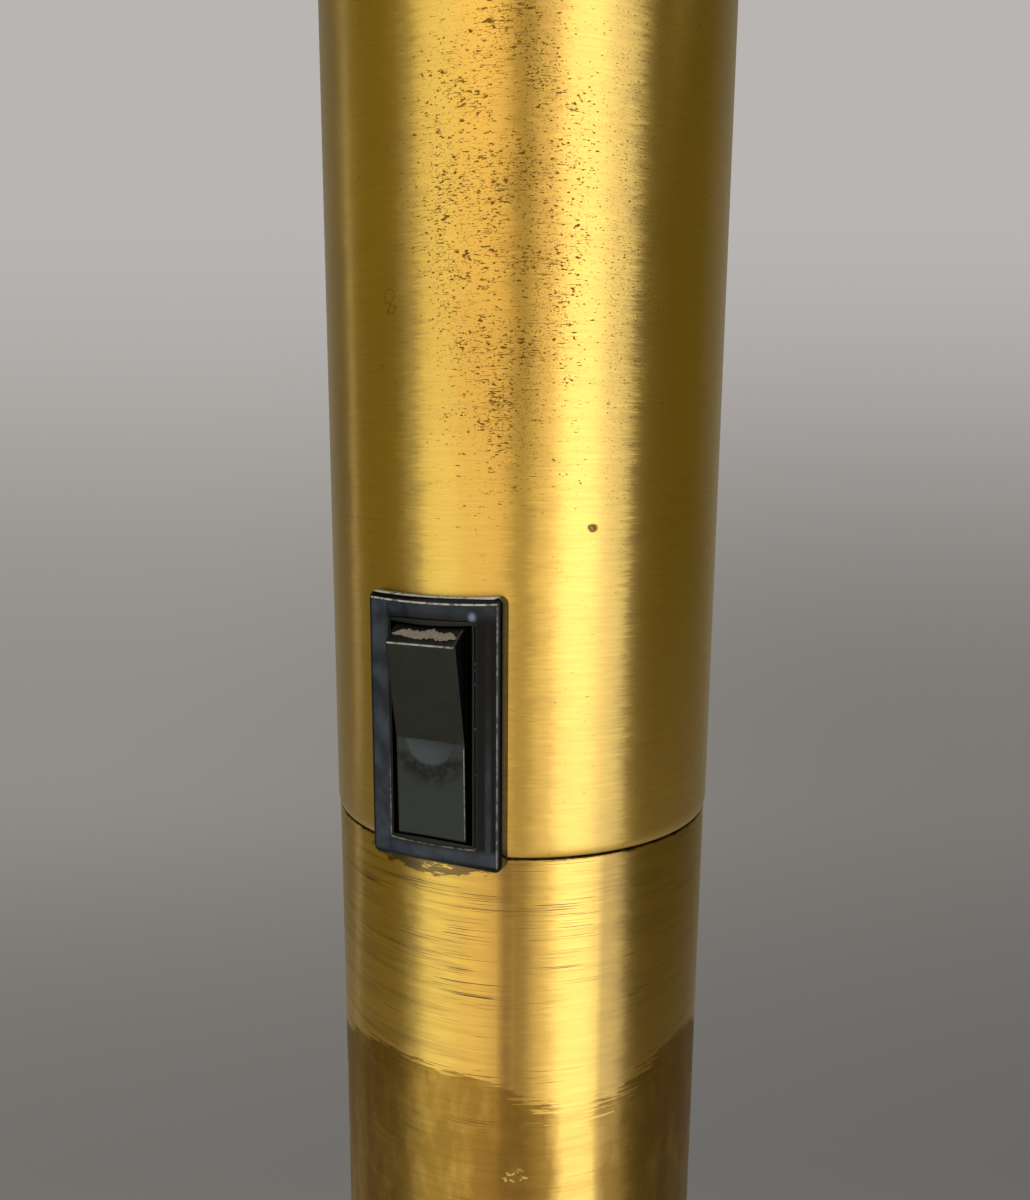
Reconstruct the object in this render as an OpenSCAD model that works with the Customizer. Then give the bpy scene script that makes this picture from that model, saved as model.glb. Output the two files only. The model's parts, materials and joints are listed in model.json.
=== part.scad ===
// Tension pole lamp: a two-inch brass column that is braced between floor and ceiling by a
// spring in its top, with a rocker switch set across the column's joint and three spot heads.
// Millimetres, Z up, origin on the floor in the middle of the foot. The front is -Y.
// Each node is one separate piece of the real lamp.

/* [Column] */
// Outside diameter of the upper tube
column_d = 50.8; // [45:0.1:60]
// How much smaller the lower tube is in diameter
lower_step = 0.4; // [0.2:0.1:1]
// Wall of the column's tubes
tube_wall = 1.0; // [0.8:0.1:1.2]
// Length of the lower tube up to the joint
lower_len = 914; // [600:1:1100]
// Length of the upper tube
upper_len = 914; // [850:1:1100]
// Length of the swaged end that plugs into the upper tube
spigot_len = 76; // [50:1:100]
// Visible gap at the joint
joint_gap = 0.2; // [0:0.05:0.3]

/* [Foot] */
// Outside diameter of the foot flange
foot_d = 76; // [72:1:110]
// Height of the foot's collar above the floor
foot_h = 26; // [20:1:40]
// Thickness of the rubber floor pad
pad_t = 3; // [2.5:0.5:4]
// Height of the cord inlet above the floor
inlet_z = 46; // [40:1:80]

/* [Rocker switch] */
// Direction of the switch, measured from the front towards +X
switch_az = -23.4; // [-60:0.1:60]
// Height of the switch's middle above the joint
switch_rise = 14.95; // [14.9:0.05:20]
// Width of the saddle-shaped bezel, straight across
bezel_w = 16.8; // [15:0.1:20]
// Height of the bezel
bezel_h = 32; // [31.5:0.1:36]
// Thickness of the bezel, measured out from the column
bezel_t = 1.55; // [1.2:0.05:2]
// Width of the opening that the rocker works in
well_w = 10.3; // [10:0.1:11]
// Width of the rocker
rocker_w = 8.8; // [8:0.1:9.4]
// Length of the rocker's two faces together
rocker_len = 23.1; // [22:0.1:23.4]
// Distance from the rocker's pivot to the valley between its faces
rocker_valley = 7.0; // [6.8:0.1:7.4]
// Angle that each face leans out from the valley
rocker_lean = 4.8; // [3:0.1:6]
// Turn of the rocker to each side of its middle
rocker_tilt = 6; // [4:0.5:7]
// Distance of the rocker's pivot from the column's axis
pivot_w = 20.1; // [19.5:0.1:20.5]

/* [Top] */
// Outside diameter of the extension tube
ext_d = 38.1; // [35:0.1:40]
// Length of the extension tube
ext_len = 600; // [500:1:800]
// Depth of the extension tube inside the column as drawn
ext_depth = 146; // [120:1:160]
// Outside diameter of the plunger tube
plunger_d = 25.4; // [22:0.1:28]
// Visible length of the plunger tube
plunger_reach = 140; // [100:1:200]
// Length of the tension spring as drawn
spring_len = 170; // [140:1:220]
// Number of working curls in the tension spring
spring_turns = 12; // [8:1:16]
// Wire diameter of the tension spring
spring_wire = 2.2; // [1.6:0.1:3]
// Outside diameter of the ceiling cup
ceiling_d = 60; // [50:1:80]

/* [Spot heads] */
// Heights of the three heads above the joint
head_rise = [251, 461, 671];
// Directions of the three heads, measured from the front towards +X
head_az = [90, -90, 0];
// Angle of each shade below level as drawn
head_dip = [35, 25, 45];
// Distance of a head's tilt pivot from the column's axis
reach = 74; // [72:1:100]
// Outside diameter of a shade
shade_d = 84; // [70:1:84]
// Length of a shade
shade_len = 130; // [125:1:160]
// Radius of the shade's rounded back edge
shade_round = 20; // [10:1:25]
// Wall of a shade
shade_t = 0.8; // [0.6:0.1:1.2]

/* [Hidden] */
$fn = 96;

// Clearances
run_fit = 0.05;   // pin in bore, on the radius
slide_fit = 0.1;  // tube in bush, on the radius

// Column
upper_r = column_d / 2;
upper_in = upper_r - tube_wall;
lower_r = upper_r - lower_step / 2;
lower_in = lower_r - tube_wall;
spigot_r = upper_in - run_fit;
spigot_in = spigot_r - tube_wall;
floor_t = 2;                       // floor of the foot flange
tube_z = pad_t + floor_t;          // where the lower tube stands
joint_z = tube_z + lower_len;
top_z = joint_z + joint_gap + upper_len;
roll_h = 2.2;                      // height of the rolled-in end of the upper tube
roll_in = 0.5;

// Foot
flange_r = foot_d / 2;
flange_t = 4;
pad_show = 1;                      // how far the pad stands out below the flange
pad_skin = 0.6;                    // rubber under the screw's head
cove_r = 8;
collar_t = 2;
foot_edge = 1;                     // rounding of the flange's and the collar's edges
foot_screw_r = 3.9;
screw_head_r = 6.5;
grommet_r = 8;
grommet_neck = 5.4;
cord_bore = 3.1;                   // hole in the grommet for a round flex

// Switch
switch_z = joint_z + switch_rise;
bezel_r = upper_r + bezel_t;
bezel_bulge = 0.9;                 // how much the bezel's front swells between its sides
bezel_corner = 1;
bezel_bow_up = 0.25;               // hollow of the bezel's top edge
bezel_bow_down = 0.5;              // hollow of its bottom edge
bezel_draft = 0.75;                // slope of its top and bottom edges over bezel_t
lip_t = 0.25;                      // rim of the housing that shows round the well
rim_w = well_w + 2 * lip_t;
rim_h = 26.2;
rim_fit = 0.02;
lip_proud = 0.15;
housing_w = 12.8;
housing_h = 29.5;
housing_back = 6;                  // back of the housing, from the column's axis
window_gap = 0.1;
well_front_r = 14.3;               // round ends of the well, about the rocker's pivot
rocker_edge = rocker_valley + rocker_len / 2 * tan(rocker_lean);
rocker_end_r = norm([rocker_edge, rocker_len / 2]);
skirt_x = 4.7;                     // back edge of the rocker's ends, from its pivot
trunnion_r = 1.2;
plunger_tip = -7.75;               // end of the rocker's plunger, from its pivot
plunger_tip_r = 1.65;
lever_w = pivot_w + plunger_tip - 0.65;  // axis of the contact lever
lever_t = 0.5;
lever_turn = -5;
contact_z = 5;
blade_tip = -2;                    // end of the terminal blades, from the column's axis
wire_r = 1.1;
wire_w = -9.5;                     // where the leads climb, behind the switch
wire_u = 1.3;
lead_bend = 5;

// Splice
wrap_r = 11.5;
wrap_z0 = joint_z + spigot_len + 4;
wrap_z1 = wrap_z0 + 45;
feed_w = 9;
feed_bend = 8;

// Top
ext_r = ext_d / 2;
ext_in = ext_r - 1.2;
ext_z0 = top_z - ext_depth;
ext_z1 = ext_z0 + ext_len;
guide_len = 15;
bush_h = 14;
bush_r = upper_r + 2;
bush_depth = 36;                   // how far the bushing reaches into the column
bush_edge = 2;
clamp_z = top_z + bush_h / 2;
clamp_az = 60;
clamp_screw_r = 2.95;
boss_r = 6;
boss_x = bush_r + 5;
plunger_r = plunger_d / 2;
plunger_in = plunger_r - 1.0;
guide_drop = 28;                   // depth of the plunger's guide inside the extension tube
guide_lip = 10;
guide_edge = 2;
foot_t = 12;                       // thickness of the plunger's foot
stop_z = ext_z1 - guide_drop;      // where the foot stops against the guide
spring_z1 = stop_z - foot_t;
spring_z0 = spring_z1 - spring_len;
spring_r = 13.5;
seat_t = 15;
seat_pin_r = 2;
plunger_z0 = stop_z - 2;
plunger_z1 = ext_z1 + guide_lip + plunger_reach;
ceiling_r = ceiling_d / 2;
cup_z = 10;                        // underside of the ceiling cup's plate
cup_floor = cup_z + 2;             // floor of the recess that holds the ceiling pad

// Heads
head_z = [for (rise = head_rise) joint_z + rise];
nipple_r = 5.1;
nipple_bore = 3.3;
nipple_x0 = 17.5;
nipple_x1 = 38;
nut_t = 3.5;
nut_across = 14;
saddle_r = 13;
saddle_x = 31;
saddle_edge = 1.5;
fork_r = 11;
fork_x = reach - 12;               // bottom of the fork's slot
slot_half = 4.05;
cheek_half = 9.5;                  // flat sides of the fork
eye_r = 9.5;
pivot_r = 2.5;
pivot_head_r = 4.6;
neck_x = 24;                       // back of the shade, from the tilt pivot
shade_r = shade_d / 2;
shade_x1 = neck_x + shade_len;
bead_r = 1.4;
socket_r = 17;
socket_x0 = neck_x + 15;           // bottom of the socket's bore
socket_x1 = neck_x + 40;
socket_bore = 13.6;
socket_rim = 1.2;                  // how far the socket's rim stands out
bulb_base_r = 13.2;
bulb_r = 31.8;
bulb_dome = 12;
bulb_reach = 110;                  // front of the bulb, from the back of the shade
bulb_x1 = neck_x + bulb_reach;

brass = "#b8923c";
dark_brass = "#7d622a";
steel = "#9a9a98";
black = "#17181b";

// ---------------------------------------------------------------- helpers

// A tube standing on z0
module pipe(ro, ri, z0, z1) {
  translate([0, 0, z0]) difference() {
    cylinder(r = ro, h = z1 - z0);
    translate([0, 0, -1]) cylinder(r = ri, h = z1 - z0 + 2);
  }
}

// A round bar along +X from x0 to x1
module bar_x(r, x0, x1) {
  translate([x0, 0, 0]) rotate([0, 90, 0]) cylinder(r = r, h = x1 - x0);
}

// The half section of a disc from y = 0 up to h, with its upper rim rounded
module round_rim(r, h, edge) {
  square([r - edge, h]);
  square([r, h - edge]);
  translate([r - edge, h - edge]) circle(edge, $fn = 48);
}

// A round bar along +X from x0 to x1 whose far rim is rounded
module round_bar_x(r, x0, x1, edge) {
  translate([x0, 0, 0]) rotate([0, 90, 0]) rotate_extrude() round_rim(r, x1 - x0, edge);
}

// A round bar along Y, middle at the origin
module bar_y(r, len) {
  rotate([90, 0, 0]) cylinder(r = r, h = len, center = true);
}

// A rectangle with round corners, middle at the origin
module round_rect(w, h, r) {
  square([w - 2 * r, h], center = true);
  square([w, h - 2 * r], center = true);
  for (x = [-1, 1]) for (y = [-1, 1])
    translate([x * (w / 2 - r), y * (h / 2 - r)]) circle(r, $fn = 32);
}

// A quarter bend in the XZ plane, round the origin, that begins at the angle start
module elbow_bend(bend, r, start) {
  rotate([90, 0, 0]) rotate([0, 0, start]) rotate_extrude(angle = 90)
    translate([bend, 0]) circle(r, $fn = 32);
}

// The switch's frame: X points out of the column, Y across, Z up, origin on the column's axis
module at_switch() {
  translate([0, 0, switch_z]) rotate([0, 0, switch_az - 90]) children();
}

// The switch's frame, with its origin at the height z
module behind_switch(z) {
  translate([0, 0, z]) rotate([0, 0, switch_az - 90]) children();
}

// A head's frame: X points out of the column, origin on the column's axis
module at_head(i) {
  translate([0, 0, head_z[i]]) rotate([0, 0, head_az[i] - 90]) children();
}

// A tilting head's frame: origin on the tilt pivot, X along the shade
module at_tilt(i) {
  at_head(i) translate([reach, 0, 0]) rotate([0, head_dip[i], 0]) children();
}

// A block that reaches from x0 to x1, with its middle on the X axis
module block_x(x0, x1, w, h) {
  translate([x0, -w / 2, -h / 2]) cube([x1 - x0, w, h]);
}

// A hexagonal nut along X, with a bore
module nut_x(across, t, bore) {
  rotate([0, 90, 0]) difference() {
    cylinder(r = across / 2 / cos(30), h = t, $fn = 6);
    translate([0, 0, -1]) cylinder(r = bore, h = t + 2);
  }
}

// ---------------------------------------------------------------- foot

module floor_pad() {
  color(black) difference() {
    cylinder(r = flange_r - 3.1, h = pad_t);
    // Recess for the screw's head
    translate([0, 0, pad_skin]) cylinder(r = screw_head_r + 1, h = pad_t);
    // Shallow grip grooves
    for (r = [14, 20, 26]) pipe(r + 1, r, -1, 0.6);
  }
}

module foot_flange() {
  color(brass) rotate_extrude() difference() {
    union() {
      translate([0, pad_show]) round_rim(flange_r, flange_t, foot_edge);
      translate([0, pad_show]) difference() {
        round_rim(lower_r + slide_fit + collar_t, foot_h - pad_show, foot_edge);
        translate([0, flange_t]) square([lower_r + slide_fit, foot_h]);
      }
      translate([lower_r + slide_fit + collar_t, pad_show + flange_t]) difference() {
        square(cove_r);
        translate([cove_r, cove_r]) circle(cove_r);
      }
    }
    square([flange_r - 3, pad_t]);
    square([foot_screw_r + 0.3, foot_h]);
  }
}

module foot_plug() {
  color(steel) pipe(lower_in - run_fit, foot_screw_r + run_fit, tube_z, tube_z + 20);
}

module foot_screw() {
  color(steel) difference() {
    union() {
      translate([0, 0, 0.8]) cylinder(r = screw_head_r, h = pad_t - 0.8);
      translate([0, 0, pad_t]) cylinder(r = foot_screw_r, h = 20);
    }
    // Screwdriver slot
    translate([-screw_head_r, -0.6, 0]) cube([2 * screw_head_r, 1.2, 1.8]);
  }
}

// ---------------------------------------------------------------- column

// The window that the switch housing passes through
module switch_window(drop) {
  at_switch() translate([10, -housing_w / 2 - window_gap, -housing_h / 2 - window_gap - drop])
    cube([20, housing_w + 2 * window_gap, housing_h + 2 * window_gap + drop]);
}

module lower_tube() {
  color(dark_brass) difference() {
    union() {
      pipe(lower_r, lower_in, tube_z, joint_z);
      pipe(lower_r, spigot_in, joint_z - 2, joint_z);
      pipe(spigot_r, spigot_in, joint_z - 2, joint_z + spigot_len);
    }
    switch_window(0);
    behind_switch(inlet_z) bar_x(grommet_neck + run_fit, -lower_r - 2, -10);
  }
}

module upper_tube() {
  color(brass) translate([0, 0, joint_z + joint_gap]) difference() {
    rotate_extrude() polygon([
      [upper_in, 0], [upper_r - roll_in, 0], [upper_r - roll_in / 3, roll_h / 3],
      [upper_r, roll_h], [upper_r, upper_len], [upper_in, upper_len],
    ]);
    translate([0, 0, -joint_z - joint_gap]) {
      switch_window(5);
      for (i = [0:2]) at_head(i) bar_x(nipple_r + slide_fit, 15, upper_r + 5);
    }
  }
}

module cord_grommet() {
  color(black) behind_switch(inlet_z) difference() {
    union() {
      bar_x(grommet_neck, -lower_r - 1, -lower_in + 0.5);
      difference() {
        bar_x(grommet_r, -lower_r - 2.2, -20);
        translate([0, 0, -20]) cylinder(r = lower_r, h = 40);
      }
      intersection() {
        bar_x(grommet_r - 1, -30, -lower_in + 2.5);
        translate([0, 0, -20]) cylinder(r = lower_in, h = 40);
      }
    }
    bar_x(cord_bore, -30, -10);
  }
}

// ---------------------------------------------------------------- rocker switch

// Cuts the sloping hollow edge at the bezel's top, or at its bottom when it is mirrored
module bezel_edge_cut(bow) {
  bow_r = (pow(bezel_w / 2, 2) + pow(bow, 2)) / (2 * bow);
  translate([upper_r, 0, bezel_h / 2 - bow + bow_r]) rotate([0, 90, 0])
    cylinder(r1 = bow_r, r2 = bow_r + bezel_draft, h = bezel_t);
  translate([0, 0, bezel_h / 2 - bow + bow_r]) bar_x(bow_r, 0, upper_r);
}

// The saddle: a plate with a nearly flat swelling front, whose back is shaped to the column
module switch_bezel() {
  front_r = (pow(bezel_w / 2, 2) + pow(bezel_bulge, 2)) / (2 * bezel_bulge);
  color(black) at_switch() difference() {
    intersection() {
      translate([bezel_r - front_r, 0, -bezel_h]) cylinder(r = front_r, h = 2 * bezel_h, $fn = 256);
      rotate([90, 0, 90]) linear_extrude(bezel_r) round_rect(bezel_w, bezel_h, bezel_corner);
    }
    translate([0, 0, -bezel_h]) cylinder(r = upper_r, h = 2 * bezel_h);
    bezel_edge_cut(bezel_bow_up);
    mirror([0, 0, 1]) bezel_edge_cut(bezel_bow_down);
    block_x(0, bezel_r + 1, rim_w + 2 * rim_fit, rim_h + 2 * rim_fit);
  }
}

// The pocket in the housing, with round ends that follow the rocker's swing
module rocker_well() {
  intersection() {
    translate([pivot_w, 0, 0]) bar_y(well_front_r, well_w);
    block_x(pivot_w + 2.9, 40, well_w, 40);
  }
  block_x(housing_back + 2, pivot_w + 3, well_w, 26);
}

module switch_housing() {
  color(black) at_switch() difference() {
    union() {
      intersection() {
        block_x(housing_back, 30, housing_w, housing_h);
        translate([0, 0, -20]) cylinder(r = upper_r - 0.02, h = 40);
      }
      // The rim that shows through the bezel
      intersection() {
        block_x(20, 40, rim_w, rim_h);
        translate([0, 0, -20]) cylinder(r = bezel_r + lip_proud, h = 40);
      }
      // Snap-in barbs behind the column's wall
      for (s = [-1, 1]) translate([spigot_in - 0.1, 1.5, s * (housing_h / 2 - 0.2)])
        rotate([90, 0, 0]) linear_extrude(3)
          polygon([[0, 0], [0, s], [-5, 0]]);
    }
    rocker_well();
    translate([pivot_w, 0, 0]) bar_y(trunnion_r + run_fit, 20);
    // Slots for the two terminals
    for (z = [0, -contact_z]) translate([0, 0, z]) block_x(0, 20, 6.4, 0.9);
  }
}

// Side outline of the rocker about its pivot, before it is tilted: X out, Y up
module rocker_outline() {
  half = rocker_len / 2;
  intersection() {
    circle(rocker_end_r);
    polygon([
      [skirt_x, half + 4], [skirt_x, 11], [2.2, 3.2], [2.2, -3.2], [skirt_x, -11],
      [skirt_x, -half - 4], [rocker_edge, -half - 4], [rocker_edge, -half],
      [rocker_valley, 0], [rocker_edge, half], [rocker_edge, half + 4],
    ]);
  }
}

// The tilting rocker's frame: origin on its pivot, X out through the valley
module at_rocker() {
  at_switch() translate([pivot_w, 0, 0]) rotate([0, rocker_tilt, 0]) children();
}

module switch_rocker() {
  boss_r = 3;
  scoop_r = 12;
  color(black) at_rocker() difference() {
    union() {
      rotate([90, 0, 0]) linear_extrude(rocker_w, center = true) rocker_outline();
      // Boss with the bore for the spring and plunger
      bar_x(boss_r, -4, 5);
      bar_y(trunnion_r + 0.8, rocker_w);
      bar_y(trunnion_r, housing_w - 0.2);
    }
    // Half-moon finger scoop under the valley
    intersection() {
      translate([rocker_valley + scoop_r - 0.5, 0, 1.2]) sphere(r = scoop_r);
      translate([0, -10, -20]) cube([20, 20, 20]);
    }
    bar_x(plunger_tip_r + run_fit, -5, 3.5);
  }
}

module rocker_plunger() {
  color("#d9cfae") at_rocker() {
    bar_x(plunger_tip_r, plunger_tip + plunger_tip_r, -1.4);
    translate([plunger_tip + plunger_tip_r, 0, 0]) sphere(r = plunger_tip_r, $fn = 48);
  }
}

// A helix of round wire along Z from z0 to z1, as one unbroken six-sided tube
module coil(r, wire, turns, z0, z1) {
  rings = 8 * turns;
  sides = 6;
  rise = z1 - z0 - wire;
  points = [for (k = [0:rings]) for (s = [0:sides - 1]) let (
      a = 45 * k, b = 360 * s / sides, q = r + wire / 2 * cos(b)
    ) [q * cos(a), q * sin(a), z0 + wire / 2 + rise * k / rings + wire / 2 * sin(b)]];
  skin = [for (k = [0:rings - 1]) for (s = [0:sides - 1]) let (
      a = k * sides + s, b = k * sides + (s + 1) % sides
    ) each [[a, b, b + sides], [a, b + sides, a + sides]]];
  start_cap = [for (s = [0:sides - 1]) sides - 1 - s];
  end_cap = [for (s = [0:sides - 1]) rings * sides + s];
  polyhedron(points, concat(skin, [start_cap], [end_cap]), convexity = 10);
}

module rocker_spring() {
  color(steel) at_rocker() rotate([0, 90, 0]) coil(1.2, 0.4, 4, -1.4, 3.4);
}

module contact_lever() {
  color("#b87333") at_switch() translate([lever_w, 0, 0]) rotate([0, lever_turn, 0])
    block_x(-lever_t / 2, lever_t / 2, 4.4, 12.4);
}

module terminal(z, contact) {
  translate([0, 0, z]) block_x(blade_tip, housing_back + 3, 6.3, 0.8);
  translate([0, 0, z]) block_x(housing_back + 2, contact, 4.6, 0.7);
}

module common_terminal() {
  color("#c9a14a") at_switch() terminal(0, lever_w - lever_t / 2 - 0.05);
}

module line_terminal() {
  color("#c9a14a") at_switch() terminal(-contact_z, lever_w - 0.8);
}

module push_on_connector() {
  color("#c9a14a") at_switch() difference() {
    block_x(blade_tip - 1, blade_tip + 6, 7.4, 2.4);
    block_x(blade_tip, blade_tip + 8, 6.34, 0.84);
  }
}

// ---------------------------------------------------------------- leads inside the column

// The lead from the switch up to the splice
module switched_lead() {
  z0 = switch_z + lead_bend;
  color(black) behind_switch(0) translate([0, -wire_u, 0]) {
    translate([0, 0, switch_z]) bar_x(wire_r, wire_w + lead_bend, blade_tip - 1);
    translate([wire_w + lead_bend, 0, z0]) elbow_bend(lead_bend, wire_r, 180);
    translate([wire_w, 0, z0]) cylinder(r = wire_r, h = wrap_z0 - z0);
  }
}

// The taped bundle of joints between the supply and the three heads
module splice_wrap() {
  color(black) translate([0, 0, wrap_z0]) rotate_extrude() {
    square([wrap_r, wrap_z1 - wrap_z0]);
    translate([0, 8]) square([wrap_r + 0.6, wrap_z1 - wrap_z0 - 16]);
  }
}

// A pair of leads from the splice to each head
module head_feed_leads() {
  color(black) for (i = [0:2]) for (s = [-1, 1]) at_head(i) translate([0, s * 1.15, 0]) {
    translate([feed_w, 0, wrap_z1 - head_z[i]])
      cylinder(r = wire_r, h = head_z[i] - wrap_z1 - feed_bend);
    translate([feed_w + feed_bend, 0, -feed_bend]) elbow_bend(feed_bend, wire_r, 90);
    bar_x(wire_r, feed_w + feed_bend, nipple_x1);
  }
}

module nipple_nuts() {
  seat = sqrt(pow(upper_in, 2) - pow(nut_across / 2 / cos(30), 2));
  color(steel) for (i = [0:2]) at_head(i) translate([seat - 0.05 - nut_t, 0, 0])
    nut_x(nut_across, nut_t, nipple_r + run_fit);
}

// ---------------------------------------------------------------- extension and tension spring

module top_bushing() {
  color(brass) translate([0, 0, top_z]) difference() {
    union() {
      rotate_extrude() round_rim(bush_r, bush_h, bush_edge);
      translate([0, 0, -bush_depth]) cylinder(r = upper_in - run_fit, h = bush_depth + 1);
      rotate([0, 0, clamp_az - 90]) translate([0, 0, bush_h / 2])
        round_bar_x(boss_r, ext_r + 1, boss_x, 1);
    }
    translate([0, 0, -bush_depth - 1])
      cylinder(r = ext_r + slide_fit, h = bush_depth + bush_h + 2);
    rotate([0, 0, clamp_az - 90]) translate([0, 0, bush_h / 2])
      bar_x(clamp_screw_r + run_fit, 15, boss_x + 1);
  }
}

module at_clamp() {
  translate([0, 0, clamp_z]) rotate([0, 0, clamp_az - 90]) children();
}

// The soft plug that the thumbscrew presses on the extension tube
module clamp_shoe() {
  color("#e8e2d0") at_clamp() difference() {
    bar_x(clamp_screw_r - 0.05, ext_r - 2, ext_r + 3);
    translate([0, 0, -10]) cylinder(r = ext_r + 0.02, h = 20);
  }
}

module thumbscrew() {
  knurls = 24;
  head_x = boss_x + 1.5;
  color(brass) at_clamp() {
    bar_x(clamp_screw_r, ext_r + 3.1, head_x);
    bar_x(5, boss_x + 0.3, head_x + 0.5);
    difference() {
      bar_x(8, head_x, head_x + 9);
      for (k = [0:knurls - 1]) rotate([360 * k / knurls, 0, 0]) translate([head_x + 1, 8.3, 0])
        rotate([0, 90, 0]) cylinder(r = 0.7, h = 7, $fn = 24);
    }
  }
}

module extension_tube() {
  color(brass) difference() {
    pipe(ext_r, ext_in, ext_z0, ext_z1);
    translate([0, 0, spring_z0 - seat_t / 2]) bar_y(seat_pin_r + run_fit, 2 * ext_d);
  }
}

// The ring that centres the extension tube's lower end in the column
module extension_guide() {
  color("#e8e2d0") {
    pipe(upper_in - slide_fit, ext_r, ext_z0, ext_z0 + guide_len);
    pipe(upper_in - slide_fit, ext_in, ext_z0 - 2, ext_z0);
  }
}

module spring_seat() {
  color(steel) difference() {
    union() {
      translate([0, 0, spring_z0 - seat_t]) cylinder(r = ext_in - run_fit, h = seat_t);
      translate([0, 0, spring_z0 - 1]) cylinder(r = spring_r - spring_wire / 2 - 1, h = 9);
    }
    translate([0, 0, spring_z0 - seat_t / 2]) bar_y(seat_pin_r + run_fit, 2 * ext_d);
  }
}

module seat_pin() {
  color(steel) translate([0, 0, spring_z0 - seat_t / 2]) bar_y(seat_pin_r, ext_d - 0.6);
}

module tension_spring() {
  color(steel) coil(spring_r, spring_wire, spring_turns, spring_z0, spring_z1);
}

module plunger_guide() {
  color(brass) difference() {
    union() {
      translate([0, 0, stop_z]) cylinder(r = ext_in - run_fit, h = guide_drop + 1);
      translate([0, 0, ext_z1]) rotate_extrude()
        round_rim(ext_r + 1.5, guide_lip, guide_edge);
    }
    translate([0, 0, stop_z - 1])
      cylinder(r = plunger_r + slide_fit, h = guide_drop + guide_lip + 2);
  }
}

module plunger_foot() {
  color(steel) {
    translate([0, 0, spring_z1]) cylinder(r = ext_in - 0.35, h = foot_t - 2);
    translate([0, 0, spring_z1 + foot_t - 3]) cylinder(r = plunger_in - run_fit, h = 20);
    translate([0, 0, spring_z1 - 8]) cylinder(r = spring_r - spring_wire / 2 - 1, h = 9);
  }
}

module plunger_tube() {
  color(brass) {
    pipe(plunger_r, plunger_in, plunger_z0, plunger_z1);
    // Rolled stop collar under the guide
    pipe(ext_in - 0.35, plunger_r - 0.2, plunger_z0, plunger_z0 + 2);
  }
}

module ceiling_plug() {
  color(steel) pipe(plunger_in - run_fit, foot_screw_r + run_fit, plunger_z1 - 18, plunger_z1);
}

module ceiling_cup() {
  color(brass) translate([0, 0, plunger_z1]) rotate_extrude() difference() {
    union() {
      translate([0, cup_z]) mirror([0, 1]) translate([0, -flange_t])
        round_rim(ceiling_r, flange_t, foot_edge);
      square([plunger_r + collar_t, cup_z + 1]);
      translate([plunger_r + collar_t, cup_z - cove_r]) difference() {
        square(cove_r);
        translate([cove_r, 0]) circle(cove_r);
      }
    }
    translate([0, cup_floor]) square([ceiling_r - 3, 3]);
    square([foot_screw_r + 0.3, 2 * cup_z]);
  }
}

module ceiling_screw() {
  color(steel) difference() {
    union() {
      translate([0, 0, plunger_z1 + cup_floor]) cylinder(r = screw_head_r, h = 2);
      translate([0, 0, plunger_z1 - 15]) cylinder(r = foot_screw_r, h = cup_floor + 16);
    }
    translate([-screw_head_r, -0.6, plunger_z1 + cup_floor + 1])
      cube([2 * screw_head_r, 1.2, 2]);
  }
}

module ceiling_pad() {
  color(black) translate([0, 0, plunger_z1 + cup_floor]) difference() {
    cylinder(r = ceiling_r - 3.1, h = 3.5);
    translate([0, 0, -1]) cylinder(r = screw_head_r + 1, h = 3.2);
  }
}

// ---------------------------------------------------------------- spot heads

module head_nipples() {
  color(steel) for (i = [0:2]) at_head(i) difference() {
    bar_x(nipple_r, nipple_x0, nipple_x1);
    bar_x(nipple_bore, nipple_x0 - 1, nipple_x1 + 1);
  }
}

// The collars whose backs are shaped to the round column
module head_saddles() {
  color(brass) for (i = [0:2]) at_head(i) difference() {
    round_bar_x(saddle_r, 15, saddle_x, saddle_edge);
    translate([0, 0, -20]) cylinder(r = upper_r, h = 40);
    bar_x(nipple_r + run_fit, 10, 40);
  }
}

// The fork that turns on the nipple and carries the tilt pivot
module head_fork(i) {
  color(brass) at_head(i) difference() {
    union() {
      bar_x(fork_r, saddle_x, fork_x - 8);
      intersection() {
        bar_x(fork_r, fork_x - 9, reach + eye_r);
        union() {
          translate([reach, 0, 0]) bar_y(eye_r, 2 * cheek_half);
          block_x(fork_x - 9, reach, 2 * cheek_half, 2 * eye_r);
        }
      }
    }
    block_x(fork_x, reach + 20, 2 * slot_half, 40);
    bar_x(nipple_r + run_fit, saddle_x - 1, nipple_x1 + 1);
    bar_x(nipple_bore, saddle_x, fork_x + 1);
    translate([reach, 0, 0]) bar_y(pivot_r + run_fit, 40);
  }
}

module head_pivot_screw(i) {
  head_t = 2.2;
  color(dark_brass) at_head(i) translate([reach, 0, 0]) difference() {
    union() {
      bar_y(pivot_r, 2 * cheek_half);
      translate([0, cheek_half + head_t / 2, 0]) bar_y(pivot_head_r, head_t);
    }
    translate([-5, cheek_half + 1, -0.5]) cube([10, 2, 1]);
  }
}

// The tongue, neck and threaded end that carry the shade
module head_knuckle(i) {
  tongue = 2 * (slot_half - run_fit);
  color(brass) at_tilt(i) difference() {
    union() {
      bar_y(eye_r - 0.5, tongue);
      block_x(0, 14, tongue, 11);
      bar_x(7.5, 13, neck_x);
      bar_x(nipple_r, neck_x - 1, socket_x0 - 1);
    }
    bar_y(pivot_r + run_fit, 40);
    bar_x(nipple_bore - 0.3, 12, socket_x0);
  }
}

// Outline of the shade, turned about its axis: a can with a round back edge
module can_outline(r, x0, x1, corner) {
  translate([0, x0]) square([r - corner, x1 - x0]);
  translate([0, x0 + corner]) square([r, x1 - x0 - corner]);
  translate([r - corner, x0 + corner]) circle(corner);
}

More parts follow.
